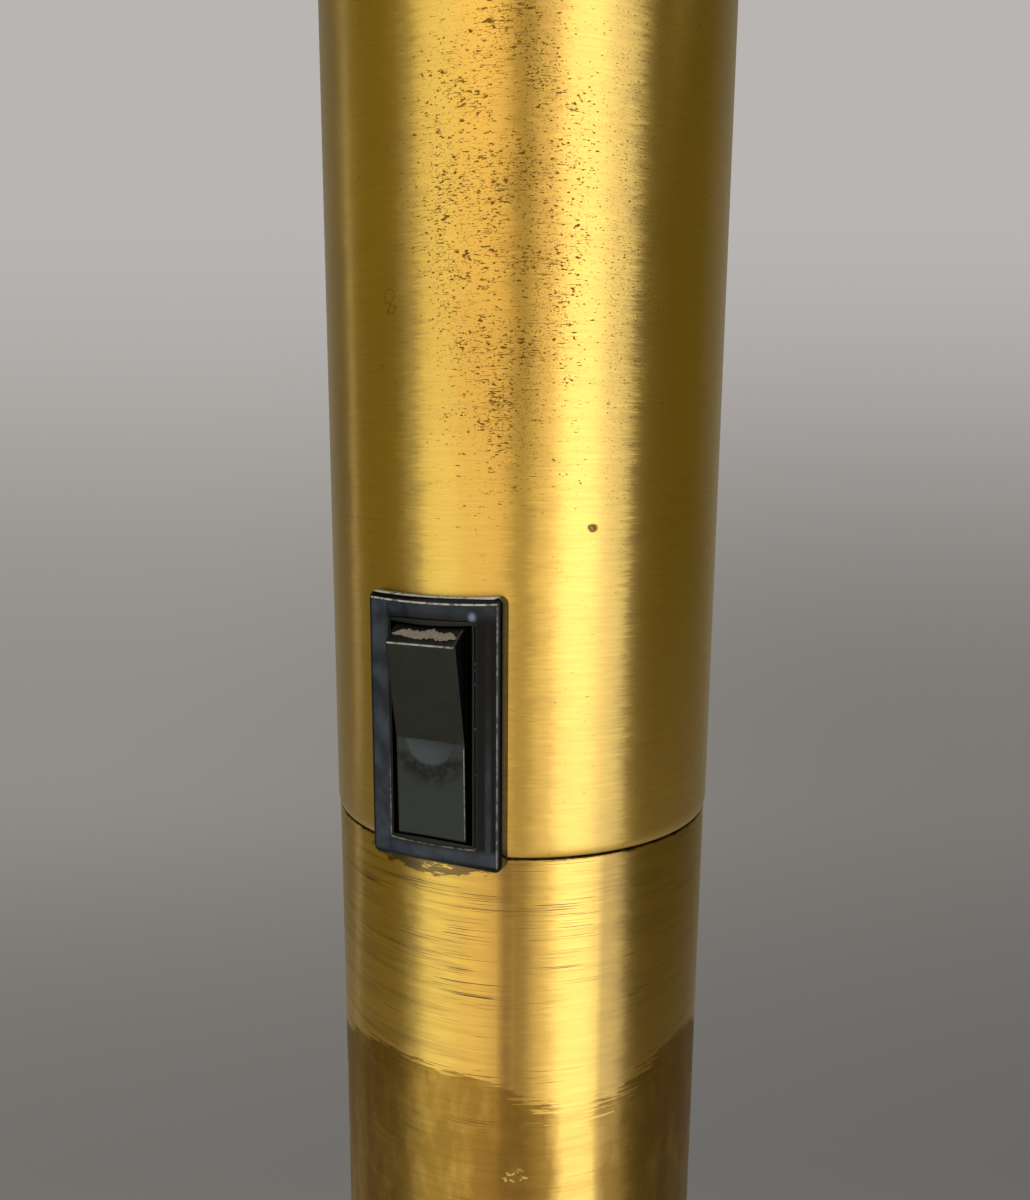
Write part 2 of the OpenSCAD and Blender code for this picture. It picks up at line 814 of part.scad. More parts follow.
module head_shade(i) {
  color(brass) at_tilt(i) rotate([0, 90, 0]) difference() {
    union() {
      rotate_extrude() difference() {
        intersection() {
          can_outline(shade_r, neck_x, shade_x1, shade_round);
          square([shade_r, shade_x1]);
        }
        intersection() {
          can_outline(shade_r - shade_t, neck_x + shade_t, shade_x1 + 1, shade_round - shade_t);
          square([shade_r, shade_x1 + 1]);
        }
      }
      // Rolled bead round the mouth
      translate([0, 0, shade_x1]) rotate_extrude() translate([shade_r - bead_r + 0.3, 0])
        circle(bead_r, $fn = 32);
    }
    translate([0, 0, neck_x - 1]) cylinder(r = nipple_r + slide_fit, h = 4);
    // Ring of heat vents
    for (k = [0:7]) rotate([0, 0, 45 * k]) translate([15.5, 0, neck_x - 1])
      cylinder(r = 3, h = 4, $fn = 48);
  }
}

module head_socket(i) {
  color(black) at_tilt(i) difference() {
    union() {
      bar_x(9, neck_x + shade_t, neck_x + 6);
      bar_x(socket_r, neck_x + 5, socket_x1);
      bar_x(socket_r + socket_rim, socket_x1 - 3, socket_x1);
    }
    bar_x(nipple_r + run_fit, neck_x, socket_x0 - 0.5);
    bar_x(socket_bore, socket_x0, socket_x1 + 1);
  }
}

module head_bulb_base(i) {
  color(steel) at_tilt(i) rotate([0, 90, 0]) {
    translate([0, 0, socket_x0 + 0.2]) cylinder(r1 = 4, r2 = bulb_base_r, h = 5);
    translate([0, 0, socket_x0 + 5]) cylinder(r = bulb_base_r, h = socket_x1 - socket_x0 - 7);
  }
}

// Side outline of a reflector bulb: neck, cone and domed face, drawn in by the wall
module bulb_outline(wall) {
  bulb_x0 = socket_x1 - 2;
  rim_x = bulb_x1 - bulb_dome;
  dome_r = (pow(bulb_r, 2) + pow(bulb_dome, 2)) / (2 * bulb_dome);
  polygon([
    [0, bulb_x0], [bulb_base_r - wall, bulb_x0], [bulb_base_r - wall, socket_x1 + 0.5],
    [15 - wall, socket_x1 + 3], [15 - wall, socket_x1 + 14], [bulb_r - wall, rim_x - 8],
    [bulb_r - wall, rim_x], [0, rim_x],
  ]);
  intersection() {
    translate([0, bulb_x1 - dome_r]) circle(dome_r - wall);
    translate([0, rim_x - 0.5]) square([bulb_r - wall, bulb_dome + 1]);
  }
}

module head_bulb(i) {
  glass_t = 0.9;
  color("#f1efe6") at_tilt(i) rotate([0, 90, 0]) rotate_extrude() difference() {
    bulb_outline(0);
    bulb_outline(glass_t);
    // The neck stays open inside the cap
    translate([0, socket_x1 - 3]) square([bulb_base_r - glass_t, 3]);
  }
}

// ---------------------------------------------------------------- assembly

floor_pad();
foot_flange();
foot_plug();
foot_screw();
lower_tube();
cord_grommet();
upper_tube();
switch_bezel();
switch_housing();
switch_rocker();
rocker_plunger();
rocker_spring();
contact_lever();
common_terminal();
line_terminal();
push_on_connector();
switched_lead();
splice_wrap();
head_feed_leads();
head_nipples();
nipple_nuts();
head_saddles();
top_bushing();
clamp_shoe();
thumbscrew();
extension_tube();
extension_guide();
spring_seat();
seat_pin();
tension_spring();
plunger_guide();
plunger_foot();
plunger_tube();
ceiling_plug();
ceiling_cup();
ceiling_screw();
ceiling_pad();
for (i = [0:2]) {
  head_fork(i);
  head_pivot_screw(i);
  head_knuckle(i);
  head_shade(i);
  head_socket(i);
  head_bulb_base(i);
  head_bulb(i);
}
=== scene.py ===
# %% [markdown]
# # A tension pole lamp and its rocker switch
# A brass column of two tubes stands between floor and ceiling, with a black rocker switch across
# the joint and three spot heads above it. The solids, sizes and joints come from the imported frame.
# This script gives every piece its finish, and makes again the ones whose soft edges, wear or
# fine parts the eye looks for. Lengths are in metres here, and mm marks a millimetre.

# %% Load the frame
import json
import math

import bmesh
import bpy
from mathutils import Matrix, Vector, noise

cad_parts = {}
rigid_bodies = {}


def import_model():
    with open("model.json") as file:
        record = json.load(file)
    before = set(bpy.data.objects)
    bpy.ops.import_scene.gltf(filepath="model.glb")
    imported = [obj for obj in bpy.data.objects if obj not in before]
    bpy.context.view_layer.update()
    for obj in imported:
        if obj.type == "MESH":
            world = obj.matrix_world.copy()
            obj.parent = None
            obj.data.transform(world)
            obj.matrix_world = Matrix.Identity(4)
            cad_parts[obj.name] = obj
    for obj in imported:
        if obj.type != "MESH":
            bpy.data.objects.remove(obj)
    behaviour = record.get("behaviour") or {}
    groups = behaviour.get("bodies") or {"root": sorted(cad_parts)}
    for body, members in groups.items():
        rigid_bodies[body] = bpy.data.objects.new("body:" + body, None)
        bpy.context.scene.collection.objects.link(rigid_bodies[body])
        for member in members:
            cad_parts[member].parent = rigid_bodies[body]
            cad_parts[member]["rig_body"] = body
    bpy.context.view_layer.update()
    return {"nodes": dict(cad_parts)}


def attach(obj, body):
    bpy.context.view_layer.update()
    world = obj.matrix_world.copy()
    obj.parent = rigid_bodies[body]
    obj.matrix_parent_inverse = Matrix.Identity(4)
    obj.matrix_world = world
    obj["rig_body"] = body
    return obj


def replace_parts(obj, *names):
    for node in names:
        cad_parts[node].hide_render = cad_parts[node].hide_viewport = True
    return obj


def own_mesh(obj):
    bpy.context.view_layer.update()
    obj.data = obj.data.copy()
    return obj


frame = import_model()
mm = 0.001

# %% [markdown]
# Sizes that several pieces share. They repeat the ones of the solids, because a piece made here
# has to sit where the solid sits. The front is -Y, and a direction is an angle from the front
# towards +X, so the switch, at -23.4 degrees, looks a little to the left.

# %% Shared sizes and directions
column_r = 25.4
lower_r = 25.2
joint_z = 919.0
top_z = 1833.2
switch_z = 933.95
switch_turn = -23.4
heads = {1: (1170, 90, 35), 2: (1380, -90, 25), 3: (1590, 0, 45)}  # height, direction, dip
reach = 74.0


def facing(turn, z=0.0):
    """The frame whose X points out of the column in a direction, at a height in mm."""
    return Matrix.Translation((0, 0, z * mm)) @ Matrix.Rotation(math.radians(turn - 90), 4, "Z")


def tilted(number):
    """A head's frame: origin on its tilt pivot, X along the shade."""
    z, turn, dip = heads[number]
    return facing(turn, z) @ Matrix.Translation((reach * mm, 0, 0)) @ Matrix.Rotation(
        math.radians(dip), 4, "Y")


at_switch = facing(switch_turn, switch_z)
print("the switch faces", [round(v, 3) for v in at_switch.to_3x3().col[0]])

# %% [markdown]
# ## Materials
# Every finish is a node tree. One function adds a node with its settings and its inputs: a list
# fills them in their order and a dictionary by name. A Map Range's list is the value, the range
# it comes from and the range it goes to, and a Mix's list is the factor and the two colours. A
# Math node's operation follows its kind. Another function turns the colours, which are written
# as a painter's hex values, into the linear numbers that the renderer counts with.

# %% Node and colour helpers
def fill(tree, node, inputs):
    """Sets or links a node's inputs, from a list in their order or a dictionary by name."""
    open_inputs = [s for s in node.inputs if s.enabled]
    for key, value in inputs.items() if isinstance(inputs, dict) else enumerate(inputs):
        socket = open_inputs[key] if isinstance(key, int) else next(
            s for s in open_inputs if s.name == key)
        if isinstance(value, bpy.types.Node):
            value = next(s for s in value.outputs if s.enabled)
        if isinstance(value, bpy.types.NodeSocket):
            tree.links.new(value, socket)
        else:
            socket.default_value = value


def put(tree, kind, inputs=(), **settings):
    """Adds a node. A shader's kind goes without its prefix, and its operation may follow it."""
    kind, _, operation = kind.partition(" ")
    node = tree.nodes.new(kind if "Node" in kind else "ShaderNode" + kind)
    if operation:
        node.operation = operation
    for key, value in settings.items():
        setattr(node, key, value)
    fill(tree, node, inputs)
    return node


def paint(code):
    """A hex colour as linear red, green, blue and alpha."""
    parts = [int(code[i:i + 2], 16) / 255 for i in (1, 3, 5)]
    return tuple(p / 12.92 if p <= 0.04045 else ((p + 0.055) / 1.055) ** 2.4 for p in parts) + (1,)


def new_finish(name, colour, roughness, **inputs):
    """A material with the constant values of its shader set, and its tree and shader."""
    material = bpy.data.materials.new(name)
    material.use_nodes = True
    tree = material.node_tree
    shader = tree.nodes["Principled BSDF"]
    fill(tree, shader, {"Base Color": paint(colour), "Roughness": roughness})
    fill(tree, shader, {key.replace("_", " "): value for key, value in inputs.items()})
    return material, tree, shader


# %% [markdown]
# ### Turned and brushed metal
# Lamp tube is polished on a lathe with a fine abrasive belt, which leaves hair lines round the
# tube. They smear each reflection along the axis and leave it sharp round the tube, so a soft
# box becomes a long upright band. Two things make that look: an anisotropic shader whose tangent
# runs along the axis, and a noise that is drawn out round the axis. Both need the axis, so one
# function splits a point into the part along the axis and the part across it.

# %% Space round a turned axis
def turned_space(tree, centre, axis):
    """Sockets for the vector out from an axis, the height along it, and the shader's tangent."""
    place = put(tree, "TexCoord").outputs["Object"]
    local = put(tree, "VectorMath SUBTRACT", [place, centre])
    height = put(tree, "VectorMath DOT_PRODUCT", [local, axis]).outputs["Value"]
    along = put(tree, "VectorMath SCALE", [axis, height])
    out = put(tree, "VectorMath SUBTRACT", [local, along])
    # A little of the outward part keeps the tangent true on flat faces across the axis
    lean = put(tree, "VectorMath MULTIPLY_ADD", [out, (4, 4, 4), axis])
    tangent = put(tree, "VectorTransform", [lean], vector_type="VECTOR", convert_from="OBJECT",
                  convert_to="WORLD")
    return out, height, tangent


def drawn_out(tree, space, axis, across, along, offset=0.0):
    """Noise coordinates whose grain is so many mm long round the axis, and so high along it."""
    out, height, _ = space
    wide = put(tree, "VectorMath SCALE", [out, 1000 / across])
    high = put(tree, "Math MULTIPLY_ADD", [height, 1000 / along, offset])
    rise = put(tree, "VectorMath SCALE", [axis, high])
    return put(tree, "VectorMath ADD", [wide, rise])


def grain(tree, space, axis, across, along, detail=2.0, offset=0.0):
    """Noise drawn out round the axis, from 0 to 1."""
    return put(tree, "TexNoise", {"Vector": drawn_out(tree, space, axis, across, along, offset),
                                  "Scale": 1.0, "Detail": detail, "Roughness": 0.6})


# %% [markdown]
# ### Brass
# Old lacquered brass is yellow where light strikes it and olive brown where it reflects a dark
# room. The metal itself takes nearly all the blue out of a reflection, and the clear lacquer
# over it gives some white back, which pales the brightest bands and greys the grazing edges, so
# the shader has a coat, except where the lacquer has gone. The hair lines are about 0.1 mm
# apart. They change the colour a few per cent and the roughness more, and a slow cloud of
# tarnish a few centimetres wide keeps long tubes from looking printed.

# %% Brass with hair lines
brass_gold = "#dcb34e"
brass_olive = "#ab8636"


def brass(name, colour=brass_gold, centre=(0, 0, 0), axis=(0, 0, 1), roughness=0.31):
    """Brushed brass. Returns the material and what the worn kinds of it build on."""
    material, tree, shader = new_finish(
        name, colour, roughness, Metallic=1.0, Anisotropic=0.8, Coat_Weight=0.8,
        Coat_Roughness=0.24, Coat_IOR=1.55)
    space = turned_space(tree, centre, axis)
    hair = grain(tree, space, axis, 3.2, 0.11)
    line = grain(tree, space, axis, 11, 0.34, 1.0)
    cloud = grain(tree, space, axis, 24, 36, 3.0)
    streak = put(tree, "Math MULTIPLY_ADD", [line, 0.7, hair])
    shine = put(tree, "MapRange", [streak, 0.55, 1.15, 0.92, 1.06])
    toned = put(tree, "Mix", [put(tree, "MapRange", [cloud, 0.42, 0.72, 0.0, 0.3]), paint(colour),
                              paint(brass_olive)], data_type="RGBA")
    base = put(tree, "VectorMath SCALE", [toned, shine])
    rough = put(tree, "MapRange", [streak, 0.55, 1.15, roughness + 0.04, roughness - 0.03])
    # Each hair line leans a little round the tube, which frays the edges of the bands
    slow = grain(tree, space, axis, 4.0, 3.0, 2.0, 9.0)
    drifting = put(tree, "Math MULTIPLY_ADD", [slow, 0.06, -0.1])
    fine = grain(tree, space, axis, 2.2, 0.13, 3.0, 7.0)
    fray = put(tree, "Math MULTIPLY_ADD", [fine, 0.14, drifting])
    sideways = put(tree, "VectorMath CROSS_PRODUCT", [axis, space[0]])
    round_it = put(tree, "VectorMath NORMALIZE", [sideways])
    tilt = put(tree, "VectorMath SCALE", [round_it, fray])
    lean = put(tree, "VectorTransform", [tilt], vector_type="VECTOR", convert_from="OBJECT",
               convert_to="WORLD")
    normal = put(tree, "NewGeometry").outputs["Normal"]
    leaning = put(tree, "VectorMath ADD", [normal, lean])
    bump = put(tree, "Bump", {"Strength": 0.12, "Distance": 2e-05, "Height": streak,
                              "Normal": put(tree, "VectorMath NORMALIZE", [leaning])})
    fill(tree, shader, {"Base Color": base, "Roughness": rough, "Normal": bump,
                        "Tangent": space[2]})
    return material, tree, shader, space, (base, rough, bump)


fitting_brass = brass("lacquered_turned_brass", roughness=0.3)[0]
print("brass is", brass_gold, "in light and", brass_olive, "where it has dulled")

# %% [markdown]
# ### The upper tube: brushed brass with tarnish pits
# Where the lacquer has failed, brown pits sit in the hair lines, each under a millimetre and
# wider than high. They crowd in a patch up the middle of the photographed side and thin out
# round it. Noises with high thresholds give pits, slivers and hair lines of tarnish, and a broad
# mask round the patch moves the thresholds, so that the same noise gives crowds and strays. Two
# small rings, a dark dot and a grimy edge at the joint are marks of their own.

# %% Pitted brass for the upper tube
z_axis = (0, 0, 1)


def spot_mask(tree, turn, z, wide, high, radius, gain=None):
    """A soft oval on the column, 1 in its middle and 0 outside, so many mm wide and high. A gain
    widens its middle."""
    a = math.radians(turn)
    middle = (radius * mm * math.sin(a), -radius * mm * math.cos(a), z * mm)
    place = put(tree, "TexCoord").outputs["Object"]
    off = put(tree, "VectorMath SUBTRACT", [place, middle])
    per_size = (1 / (wide * mm), 1 / (wide * mm), 1 / (high * mm))
    scaled = put(tree, "VectorMath MULTIPLY", [off, per_size])
    length = put(tree, "VectorMath LENGTH", [scaled])
    mask = put(tree, "MapRange", [length.outputs["Value"], 1.0, 0.0, 0.0, 1.0],
               interpolation_type="SMOOTHSTEP")
    return mask if gain is None else put(tree, "Math MULTIPLY", [mask, gain], use_clamp=True)


def add_marks(tree, base, *layers):
    """Lays colours over a base in turn. A layer is a mask, a colour and how strongly it shows."""
    for mask, colour, strength in layers:
        amount = put(tree, "Math MULTIPLY", [mask, strength])
        base = put(tree, "Mix", [amount, base, paint(colour)], data_type="RGBA")
    return base


def ring_mark(tree, turn, z, size, radius):
    """A thin crooked ring on the column, of so many mm in radius."""
    a = math.radians(turn)
    middle = (radius * mm * math.sin(a), -radius * mm * math.cos(a), z * mm)
    place = put(tree, "TexCoord").outputs["Object"]
    shake = put(tree, "TexNoise", {"Vector": place, "Scale": 900.0})
    centred = put(tree, "VectorMath SUBTRACT", [shake.outputs["Color"], (0.5, 0.5, 0.5)])
    shaken = put(tree, "VectorMath MULTIPLY_ADD", [centred, (0.0014, 0.0014, 0.0014), place])
    away = put(tree, "VectorMath DISTANCE", [shaken, middle])
    past_ring = put(tree, "Math MULTIPLY_ADD", [away.outputs["Value"], 1000.0, -size])
    off = put(tree, "Math ABSOLUTE", [past_ring])
    return put(tree, "MapRange", [off, 0.03, 0.13, 1.0, 0.0])


column_brass, tree, shader, space, (base, rough, bump) = brass("brushed_brass_column")
patch = spot_mask(tree, -5, 991, 17, 52, column_r, 1.5)
drift = grain(tree, space, z_axis, 5, 6, 2.0, 3.0)
thinning = put(tree, "MapRange", [drift, 0.3, 0.7, 0.55, 1.1])
crowd = put(tree, "Math MULTIPLY", [patch, thinning])
right_specks = spot_mask(tree, 25, 988, 9, 70, column_r)
first_crowd = put(tree, "Math MAXIMUM", [crowd, right_specks])
pits = None
# The grain's size round and along the tube, its threshold, the crowd's pull on it and a shift
for across, along, level, pull, offset in (
        (0.26, 0.13, 0.725, 0.135, 11.0), (0.65, 0.24, 0.70, 0.13, 31.0),
        (0.9, 0.5, 0.745, 0.135, 53.0), (2.2, 0.12, 0.735, 0.12, 71.0)):
    mark = grain(tree, space, z_axis, across, along, 3.0, offset)
    here = crowd if pits else first_crowd
    threshold = put(tree, "Math MULTIPLY_ADD", [here, -pull, level])
    depth = put(tree, "Math SUBTRACT", [mark, threshold])
    found = put(tree, "MapRange", [depth, 0.0, 0.04, 0.0, 1.0])
    pits = put(tree, "Math MAXIMUM", [pits, found]) if pits else found
for turn, z, size in ((-36.3, 982.1, 0.75), (-35.7, 980.7, 0.5)):
    ring = put(tree, "Math MULTIPLY", [ring_mark(tree, turn, z, size, column_r), 0.6])
    pits = put(tree, "Math MAXIMUM", [pits, ring])
dot_mask = spot_mask(tree, 16.9, 957.3, 0.95, 0.8, column_r)
dot = put(tree, "MapRange", [dot_mask, 0.15, 0.5, 0.0, 1.0])
dot_ring = ring_mark(tree, 16.7, 957.3, 0.4, column_r)
marked = put(tree, "Math MAXIMUM", [pits, dot])
bare = put(tree, "Math MULTIPLY_ADD", [marked, -0.8, 0.8])
under_mm = put(tree, "Math MULTIPLY_ADD", [space[1], -1000.0, 919.78])
fringe = put(tree, "Math SUBTRACT", [under_mm, grain(tree, space, z_axis, 1.3, 4.0, 4.0, 19.0)])
grime = put(tree, "MapRange", [fringe, 0.0, 0.25, 0.0, 1.0])
marks = add_marks(tree, base, (patch, "#cf9a36", 0.3), (pits, "#5f3f0c", 0.9),
                  (dot, "#6f4f26", 0.9), (dot_ring, "#34200d", 0.75), (grime, "#2b1d0c", 0.95))
dull = put(tree, "Math MULTIPLY_ADD", [pits, 0.25, rough])
fill(tree, shader, {"Base Color": marks, "Roughness": dull, "Coat Weight": bare})
print("upper tube:", len(tree.nodes), "nodes")

# %% [markdown]
# ### The lower tube: a rubbed band and old patina
# The top of the lower tube was once inside the sleeve above, or was rubbed by a sliding joint.
# It shows a bright band about 30 mm high that ends in ragged tongues, and brown patina below.
# The band's edge is a height compared with a noise drawn out round the tube, so its tongues run
# the way the rubbing went. Scratches cross it, and films, a smudge under the joint and small chips
# lie over it. Upright dark stripes are painted reflections, and painted shade darkens the right
# side so that the bright band ends sharply there.

# %% Rubbed and patinated brass for the lower tube
worn_brass, tree, shader, space, (base, rough, bump) = brass("rubbed_brass_lower_tube")
dip = spot_mask(tree, 18, 884, 15, 70, lower_r)
fine = grain(tree, space, z_axis, 2.2, 0.25, 3.0, 6.0)
fine_tongues = put(tree, "Math MULTIPLY_ADD", [fine, 0.9, -1.55])
broad = grain(tree, space, z_axis, 8, 0.42, 2.0, 5.0)
tongues = put(tree, "Math MULTIPLY_ADD", [broad, 2.2, fine_tongues])
tongues_mm = put(tree, "Math MULTIPLY", [tongues, put(tree, "Math MULTIPLY_ADD", [dip, 6.0, 2.0])])
far_sides = put(tree, "Math MAXIMUM", [spot_mask(tree, -80, 890, 14, 60, lower_r),
                                       spot_mask(tree, 85, 890, 13, 60, lower_r)])
middle_mm = put(tree, "Math MULTIPLY_ADD", [dip, -5.5, 890.9])
mean_mm = put(tree, "Math MULTIPLY_ADD", [far_sides, -4.0, middle_mm])
edge_mm = put(tree, "Math ADD", [tongues_mm, mean_mm])
height_mm = put(tree, "Math MULTIPLY", [space[1], 1000.0])
under = put(tree, "Math SUBTRACT", [edge_mm, height_mm])
below = put(tree, "MapRange", [under, -0.1, 0.1, 0.0, 1.0])
strip = spot_mask(tree, 16, 868, 4.6, 60, lower_r, 1.5)
patina_noise = grain(tree, space, z_axis, 4, 9, 4.0, 23.0)
thinned = put(tree, "Math MULTIPLY_ADD", [strip, -0.55, patina_noise])
patina_level = put(tree, "MapRange", [thinned, 0.05, 0.55, 0.15, 1.0])
patina = put(tree, "Math MULTIPLY", [below, patina_level])
middle = spot_mask(tree, 6, 902, 17, 34, lower_r)
scratch_noise = grain(tree, space, z_axis, 12, 0.1, 1.5, 8.0)
scratch_zone = grain(tree, space, z_axis, 12, 3.5, 1.0, 14.0)
zone_level = put(tree, "Math MULTIPLY_ADD", [scratch_zone, -0.38, 0.878])
scratched = put(tree, "Math MAXIMUM", [spot_mask(tree, -18, 908, 15, 18, lower_r),
                                       spot_mask(tree, 10, 913, 16, 11, lower_r)])
scratch_level = put(tree, "Math MULTIPLY_ADD", [scratched, -0.09, zone_level])
scratch_depth = put(tree, "Math SUBTRACT", [scratch_noise, scratch_level])
scratches = put(tree, "MapRange", [scratch_depth, 0.0, 0.025, 0.0, 1.0])
film_noise = grain(tree, space, z_axis, 14, 0.7, 4.0, 41.0)
film_level = put(tree, "MapRange", [film_noise, 0.42, 0.7, 0.0, 0.8])
film = put(tree, "Math MULTIPLY", [film_level, put(tree, "Math SUBTRACT", [1.0, middle])])
# Painted dark reflections: upright stripes on the front of the lower tube
soft_reflection_stripe = put(tree, "Math MULTIPLY", [spot_mask(tree, -2.0, 893, 5.5, 150, lower_r), 0.6])
dark_reflection_stripes = put(tree, "Math MAXIMUM", [spot_mask(tree, -4.6, 893, 2.0, 150, lower_r), soft_reflection_stripe])
dark_reflection_stripes = put(tree, "Math MAXIMUM", [dark_reflection_stripes, spot_mask(tree, 2.8, 860, 1.1, 26, lower_r)])
place = put(tree, "TexCoord").outputs["Object"]
to_the_right = put(tree, "SeparateXYZ", [place])
# Painted shade: the right side is darkened so that the bright band ends sharply
right_side_shade = put(tree, "MapRange", [to_the_right, 8.9 * mm, 9.7 * mm, 0.0, 1.0])
worn_off = put(tree, "Math MULTIPLY_ADD", [patina, -0.75, 0.8])
smudge = put(tree, "Math MULTIPLY", [spot_mask(tree, -27, 918.0, 16.5, 3.6, lower_r, 1.5),
                                     grain(tree, space, z_axis, 2.4, 0.6, 4.0, 29.0)])
smudge_mask = put(tree, "MapRange", [smudge, 0.38, 0.43, 0.0, 1.0])
chips = put(tree, "Math MULTIPLY", [spot_mask(tree, -1.6, 877.9, 4.2, 2.2, lower_r, 1.6),
                                    grain(tree, space, z_axis, 0.7, 0.7, 3.0, 47.0)])
chip_mask = put(tree, "MapRange", [chips, 0.55, 0.58, 0.0, 1.0])
over_mm = put(tree, "Math ADD", [height_mm, -918.3])
fringe = put(tree, "Math SUBTRACT", [over_mm, grain(tree, space, z_axis, 1.6, 3.0, 4.0, 37.0)])
grime = put(tree, "MapRange", [fringe, 0.0, 0.3, 0.0, 1.0])
marks = add_marks(
    tree, base, (film, "#94711f", 0.55), (scratches, "#4c320c", 0.95), (dark_reflection_stripes, "#7a5518", 0.75),
    (right_side_shade, "#9a752a", 0.5), (patina, "#80602a", 0.8), (smudge_mask, "#4f3c1d", 0.85),
    (chip_mask, "#e9cf8c", 0.9), (grime, "#20150a", 0.95))
dull = put(tree, "Math MULTIPLY_ADD", [patina, 0.06, rough])
fill(tree, shader, {"Base Color": marks, "Roughness": dull, "Coat Weight": worn_off})
print("lower tube:", len(tree.nodes), "nodes")

# %% [markdown]
# ### Black mouldings
# The switch is moulded in thermoset. The bezel comes out of a polished mould and shines blue
# black. The rocker has a satin face, so it shows the shape of the light only softly, with a
# faint orange peel about a millimetre wide and dust in it.

# %% Gloss and satin black
def moulding(name, colour, dusty, roughness, peel_mm, peel, gloss=0.5):
    """Moulded plastic with a faint uneven skin and a film of dust."""
    material, tree, shader = new_finish(name, colour, roughness, Specular_IOR_Level=gloss)
    place = put(tree, "TexCoord").outputs["Object"]
    skin = put(tree, "TexNoise", {"Vector": place, "Scale": 1000 / peel_mm, "Detail": 2.0})
    dust = put(tree, "TexNoise", {"Vector": place, "Scale": 1000 / 2.2, "Detail": 6.0,
                                  "Roughness": 0.7})
    film = put(tree, "MapRange", [dust, 0.4, 0.8, 0.0, 0.5])
    tint = put(tree, "Mix", [film, paint(colour), paint(dusty)], data_type="RGBA")
    rough = put(tree, "MapRange", [dust, 0.3, 0.7, roughness - 0.04, roughness + 0.07])
    bump = put(tree, "Bump", {"Strength": peel, "Distance": 3e-05, "Height": skin})
    fill(tree, shader, {"Base Color": tint, "Roughness": rough, "Normal": bump})
    return material


bezel_black = moulding("polished_black_phenolic", "#030304", "#090b10", 0.1, 2.5, 0.12, 0.14)
rocker_black = moulding("satin_black_phenolic", "#171814", "#292a24", 0.28, 1.2, 0.2, 0.17)
housing_black = moulding("moulded_black_nylon", "#060606", "#151412", 0.4, 1.0, 0.3, 0.25)
socket_black = moulding("phenolic_lampholder", "#141210", "#2c2823", 0.38, 3.0, 0.3)
rubber = moulding("moulded_black_rubber", "#161616", "#34322f", 0.72, 0.8, 0.5)
nylon = moulding("natural_nylon", "#d9d2bd", "#c9bfa4", 0.5, 1.5, 0.3)
lead_vinyl = moulding("vinyl_lead_insulation", "#15151a", "#2b2b30", 0.42, 1.5, 0.2)
cloth_tape = moulding("friction_tape", "#1a1a1a", "#3a3833", 0.85, 0.6, 0.8)

# %% [markdown]
# Light and shade are painted on the switch too. A blue-grey painted reflection lies on the bezel's
# left and bottom strips, with a faint line of it near the right edge, and there is one small
# painted glint. Painted highlights run as broken grey lines along the bezel's edges, and pale
# broken lines mark the mouth round the rocker. On the rocker the finger-polished lower face and
# the half-moon carry painted reflections, a dark painted reflection sits under the half-moon, and
# the sides and top end are painted in shade. Each mark is bounded by soft edges, and one function
# multiplies them into a mask.

# %% Soft edges and masks
def switch_space(tree, place):
    """Sockets for mm across and up in a frame of the switch."""
    point = put(tree, "TexCoord").outputs["Object"]
    local = put(tree, "VectorMath SUBTRACT", [point, tuple(place.translation)])
    axes = place.to_3x3()
    return [put(tree, "VectorMath DOT_PRODUCT", [local, tuple(axes.col[k] * 1000)]).outputs["Value"]
            for k in (1, 2)]


def line_at(tree, value, at, wide):
    """The soft edge round a line across a value."""
    past = put(tree, "Math ADD", [value, -at])
    return put(tree, "Math ABSOLUTE", [past]), wide, wide * 0.3


def mask_of(tree, *groups):
    """A mask from groups of soft edges. The edges of a group are multiplied, and the highest
    group shows. An edge is a value, its start and end, and its levels there if not 0 and 1."""
    highest = None
    for group in groups:
        mask = None
        for value, start, end, *levels in group:
            edge = put(tree, "MapRange", [value, start, end, *(levels or (0.0, 1.0))],
                       interpolation_type="SMOOTHSTEP")
            mask = edge if mask is None else put(tree, "Math MULTIPLY", [mask, edge])
        highest = mask if highest is None else put(tree, "Math MAXIMUM", [highest, mask])
    return highest


# %% [markdown]
# The bezel's marks are placed in millimetres across and up the plate. A fine noise breaks the
# painted highlight lines, as the plastic's own unevenness does.

# %% Painted reflections and highlights on the bezel
tree = bezel_black.node_tree
shader = tree.nodes["Principled BSDF"]
u_mm, v_mm = switch_space(tree, at_switch)
off_u = put(tree, "Math ABSOLUTE", [u_mm])
off_v = put(tree, "Math ABSOLUTE", [v_mm])
place = put(tree, "TexCoord").outputs["Object"]
cloudy = put(tree, "TexNoise", {"Vector": place, "Scale": 400.0, "Detail": 4.0})
# Painted reflection: a blue-grey tint on the left and bottom strips, less on the top strip, and a
# faint line near the right edge
reflection_zones = mask_of(
    tree, [(u_mm, -5.2, -6.0)], [(v_mm, -12.9, -14.0, 0.0, 0.8)], [(v_mm, 12.9, 14.2, 0.0, 0.5)],
    [line_at(tree, u_mm, 7.0, 0.5), (v_mm, 6.0, -8.0, 0.1, 0.5)])
on_face = mask_of(
    tree, [(off_u, 8.1, 7.7), (off_v, 15.3, 14.8), (cloudy, 0.3, 0.7, 0.45, 1.0)])
reflection_mask = put(tree, "Math MULTIPLY", [reflection_zones, on_face])
# Painted highlight: a small pale-blue glint on the face near the opening's top right corner
painted_glint = spot_mask(tree, -12.4, 947.6, 0.7, 0.8, 27.0)
broken = put(tree, "TexNoise", {"Vector": place, "Scale": 1500.0, "Detail": 4.0})
squared = put(tree, "Math MULTIPLY", [u_mm, u_mm])
